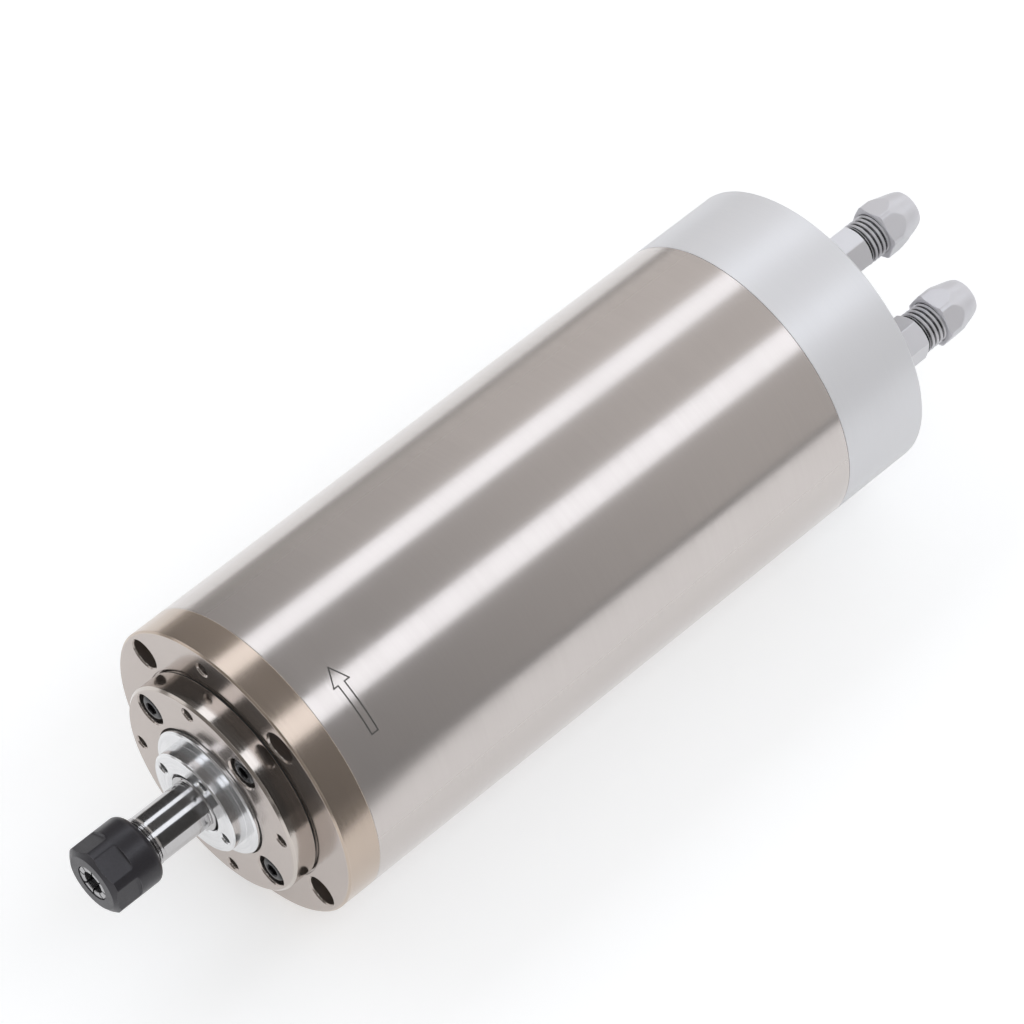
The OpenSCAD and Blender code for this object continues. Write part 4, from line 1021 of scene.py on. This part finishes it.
@dataclass
class Nose:
    """Shaft with its threaded nose, collet and collet nut."""

    tip: float = -38.6
    thread_end: float = -27.0
    thread_radius: float = 6.45
    thread_pitch: float = 0.75
    thread_cut: float = 0.32
    neck_radius: float = 6.35
    flat_half: float = 6.2
    flat_x: tuple[float, float] = (-26.2, -12.6)
    flat_angle: float = 166.0
    seat: list[Station] = field(default_factory=lambda: [(-4.6, 0.0), (-4.6, 3.4), (-25.2, 3.4), (-25.2, 3.748)])
    seat_mouth: float = 5.631
    shoulder: list[Station] = field(default_factory=lambda: [(-12.45, 7.3), (-12.2, 7.55), (-9.48, 7.55)])
    bearing_seats: list[Station] = field(default_factory=lambda: [
        (-9.48, 8.48), (27.0, 8.48), (27.0, 11.0), (31.0, 11.0), (31.0, 9.0), (38.0, 9.0), (38.0, 9.98),
        (126.0, 9.98), (126.0, 10.0), (150.2, 10.0), (150.2, 7.48), (167.8, 7.48), (168.2, 7.1), (168.2, 0.0)])
    nut_face: float = -43.4
    nut_rear: float = -28.9
    nut_radius: float = 9.2
    nut_across: float = 17.0
    nut_corner: float = 25.0
    nut_hex_end: float = -36.0
    nut_face_radius: float = 7.5
    nut_cone: float = 1.1
    nut_edge: float = 1.8
    nut_fillet: float = 0.7
    nut_inside: list[Station] = field(default_factory=lambda: [
        (-39.2, 6.5), (-39.2, 6.05), (-40.5, 6.05), (-40.6, 5.0), (-41.4, 5.0), (-41.6, 5.3), (-43.2, 4.75)])

    def shaft_rule(self, x: float, angle: float, radius: float) -> float:
        """Shapes the nose thread and the wrench flats."""
        if self.tip + 0.3 < x < self.thread_end and radius > self.thread_radius - 0.05:
            return radius - thread_depth(x, angle, self.thread_pitch, self.thread_cut)
        if self.flat_x[0] <= x <= self.flat_x[1] and radius < self.neck_radius + 0.01:
            lean = abs(math.cos(angle - math.radians(self.flat_angle)))
            if lean > 0.1:
                return min(radius, self.flat_half / lean)
        return radius

    def shaft(self) -> None:
        """Builds the shaft from the collet seat to the tail."""
        neck, crest = self.neck_radius, self.thread_radius
        a, b = self.flat_x
        outline = [*self.seat, (self.tip, self.seat_mouth), (self.tip, crest - 0.4), (self.tip + 0.4, crest),
                   (self.thread_end, crest), (self.thread_end + 0.4, neck), (a - 0.01, neck), (a, neck),
                   (b, neck), (b + 0.01, neck), (self.shoulder[0][0], neck), *self.shoulder, *self.bearing_seats]
        Turning("shaft_body", outline, segments=240, step=1.2, fine=(self.tip, self.thread_end, 0.085),
                rule=self.shaft_rule, sharp=30.0).build(POLISHED_STEEL, "rotor", "shaft")

    def nut_rule(self, x: float, angle: float, radius: float) -> float:
        """Shapes the hexagon of the collet nut, with a small fillet where it meets the collar."""
        flat = hexagon(self.nut_across, self.nut_corner)(angle)
        if x > self.nut_hex_end:
            return radius
        rest = self.nut_hex_end - x
        fillet = self.nut_fillet
        if rest < fillet:
            flat += fillet - math.sqrt(max(0.0, fillet * fillet - (fillet - rest) ** 2))
        return min(radius, flat)

    def nut(self) -> None:
        """Builds the collet nut."""
        x0, x1, r, e = self.nut_face, self.nut_rear, self.nut_radius, self.nut_edge
        outer = [(x0, 4.75), (x0, self.nut_face_radius), (x0 + self.nut_cone, r), (self.nut_hex_end, r),
                 (self.nut_hex_end + 0.01, r)]
        outer += [(x1 - e * (1 - math.sin(t)), r - e * (1 - math.cos(t)))
                  for t in (math.radians(15.0 * k) for k in range(7))]
        inner = [(x1, 6.85), (x1 - 0.4, 6.5), *self.nut_inside]
        Turning("clamping_nut", outer + inner, segments=360, step=0.12, rule=self.nut_rule, ruled=4,
                sharp=24.0).build(BLACK_OXIDE, "collet_nut", "collet_nut")

    def build(self) -> None:
        """Builds shaft and nut and dresses the collet."""
        self.shaft()
        self.nut()
        dress(COLLET_STEEL, "collet")


@dataclass
class WaterFitting:
    """One water fitting with its hose nut and sealing washer."""

    name: str
    angle: float
    hex_corner: float
    nut_corner: float
    radius: float = 31.0
    hex_start: float = 192.3
    hex_end: float = 199.7
    hex_across: float = 11.0
    thread_end: float = 211.5
    thread_radius: float = 5.6
    thread_cut: float = 0.62
    thread_pitch: float = 1.4
    tip: float = 217.6
    stem: float = 2.8
    bore: float = 2.0
    nut_start: float = 205.7
    nut_hex_end: float = 213.3
    nut_across: float = 13.0
    nut_corner_radius: float = 7.2
    nut_cone: float = 3.9
    nut_nose: list[Station] = field(default_factory=lambda: [
        (210.5, 6.92), (211.8, 6.55), (213.2, 6.15), (214.7, 5.78), (216.0, 5.42), (216.9, 5.08), (217.4, 4.8),
        (217.6, 4.55)])

    def axis(self) -> tuple[float, float]:
        """Gives y and z of the fitting's axis."""
        turn = math.radians(self.angle)
        return self.radius * math.cos(turn), self.radius * math.sin(turn)

    def body_rule(self, x: float, angle: float, radius: float) -> float:
        """Shapes the hexagon and the thread of the fitting."""
        if self.hex_start - 0.01 <= x <= self.hex_end + 0.01 and radius > self.hex_across / 2 - 0.5:
            return min(radius, hexagon(self.hex_across, self.hex_corner)(angle))
        if self.hex_end + 0.5 < x < self.thread_end and radius > self.thread_radius - 0.02:
            return radius - thread_depth(x, angle, self.thread_pitch, self.thread_cut)
        return radius

    def fitting(self) -> None:
        """Builds the fitting's body."""
        top = self.hex_across / 2 / math.cos(math.pi / 6)
        flat = self.hex_across / 2
        root = self.thread_radius - self.thread_cut
        outline = [(182.5, self.bore), (182.5, 4.8), (self.hex_start, 4.8), (self.hex_start, flat - 0.15),
                   (self.hex_start + 0.5, top), (self.hex_end - 0.6, top), (self.hex_end, flat - 0.2),
                   (self.hex_end, root), (self.hex_end + 0.45, root), (self.hex_end + 0.6, self.thread_radius),
                   (self.thread_end, self.thread_radius), (self.thread_end, self.stem), (self.tip - 1.0, self.stem),
                   (self.tip, self.stem - 0.4), (self.tip, self.bore)]
        Turning(f"{self.name}_fitting_body", outline, self.axis(), 240, 0.9,
                fine=(self.hex_start, self.thread_end, 0.1), rule=self.body_rule, sharp=30.0
                ).build(FITTING_NICKEL, "body", f"{self.name}_fitting")

    def nut_rule(self, x: float, angle: float, radius: float) -> float:
        """Shapes the hexagon of the hose nut."""
        if x <= self.nut_hex_end + 1.0 and radius > self.nut_across / 2 - 0.5:
            return min(radius, hexagon(self.nut_across, self.nut_corner)(angle))
        return radius

    def hose_nut(self) -> None:
        """Builds the hose nut."""
        x0, x1 = self.nut_start, self.nut_hex_end
        flat, top = self.nut_across / 2, self.nut_corner_radius
        outline = [(x0, 5.65), (x0, flat - 0.15), (x0 + 0.4, top), (x1 - self.nut_cone, top), *self.nut_nose,
                   (self.tip, 4.0), (x1, 4.0), (self.thread_end + 0.4, 5.65)]
        Turning(f"{self.name}_nut_body", outline, self.axis(), 240, 0.2, rule=self.nut_rule, ruled=8,
                sharp=26.0).build(NUT_NICKEL, f"{self.name}_hose_nut", f"{self.name}_hose_nut")

    def build(self) -> None:
        """Builds fitting and nut and dresses the washer."""
        self.fitting()
        self.hose_nut()
        dress(SEAL_RUBBER, f"{self.name}_washer", axis=self.axis())


@dataclass
class RearEnd:
    """Rear cap with its screws and the power connector."""

    screw_radius: float = 32.3
    screw_angle: float = 37.8
    screw_seat: float = 185.5
    screw_reach: float = 35.0
    connector_radius: float = 20.4
    connector_angle: float = 262.8
    shell_start: float = 192.3
    flange_end: float = 194.8
    shell_end: float = 209.0
    shell_radius: float = 7.9
    shell_bore: float = 6.6
    flange_radius: float = 9.0

    def shell(self) -> None:
        """Builds the connector's shell with its outside thread."""
        turn = math.radians(self.connector_angle)
        axis = (self.connector_radius * math.cos(turn), self.connector_radius * math.sin(turn))

        def rule(x: float, angle: float, radius: float) -> float:
            """Cuts the thread of the coupling ring."""
            if self.flange_end + 0.8 < x < self.shell_end - 0.3 and radius > self.shell_radius - 0.02:
                return radius - thread_depth(x, angle, 1.0, 0.45)
            return radius

        outline = [(self.shell_start, self.shell_bore), (self.shell_start, self.flange_radius),
                   (self.flange_end - 0.3, self.flange_radius), (self.flange_end, self.flange_radius - 0.3),
                   (self.flange_end, self.shell_radius - 0.45), (self.flange_end + 0.7, self.shell_radius - 0.45),
                   (self.flange_end + 0.9, self.shell_radius), (self.shell_end - 0.4, self.shell_radius),
                   (self.shell_end, self.shell_radius - 0.4), (self.shell_end, self.shell_bore)]
        threaded = (self.flange_end + 0.9, self.shell_end - 0.4, 0.11)
        Turning("socket_shell", outline, axis, 180, 1.0, fine=threaded, rule=rule, sharp=30.0
                ).build(BRIGHT_NICKEL, "body", "connector_shell")
        dress(SEAL_RUBBER, "connector_gasket", axis=axis)
        dress(INSULATOR, "connector_insert", axis=axis)
        dress(CONTACT_BRASS, "connector_pins", axis=axis)

    def build(self) -> None:
        """Dresses the cap and builds screws and connector."""
        dress(SATIN_ALUMINIUM, "rear_cap")
        for i, axis in enumerate(ring_of(4, self.screw_radius, self.screw_angle)):
            SocketScrew().build(f"cap_screw_{i}", self.screw_seat, self.screw_reach, axis, "body",
                                ("cap_screws",) if i == 0 else (), 20.0 + 25.0 * i, True)
        self.shell()


@dataclass
class Inside:
    """Bearings, motor and seals inside the body."""

    bearings: tuple[str, ...] = ("front_bearing_a", "front_bearing_b", "rear_bearing")

    def build(self) -> None:
        """Dresses every inner solid."""
        dress(BEARING_STEEL, *(f"{b}_{part}" for b in self.bearings for part in ("outer", "inner", "balls")),
              "inner_spacer", "outer_spacer")
        dress(CAGE_PHENOLIC, *(f"{b}_cage" for b in self.bearings))
        dress(SPRING_STEEL, "preload_spring")
        dress(BLACK_OXIDE, "rear_locknut")
        dress(LAMINATION, "rotor_core", "stator_core")
        dress(CAST_ALUMINIUM, "rotor_cage")
        dress(ENAMELLED_COPPER, "stator_windings")
        dress(JACKET_STEEL, "cooling_jacket")
        dress(SEAL_RUBBER, "front_o_ring", "rear_o_ring")


def main() -> None:
    """Builds every sub-assembly in order."""
    logging.basicConfig(level=logging.INFO, format="%(name)s: %(message)s")
    Studio().build()
    Barrel().build()
    FrontEnd().build()
    Nose().build()
    RearEnd().build()
    WaterFitting("inlet", 103.1, 58.0, 43.0).build()
    WaterFitting("outlet", 152.6, 35.0, 53.0).build()
    Inside().build()


if __name__ == "__main__":
    main()
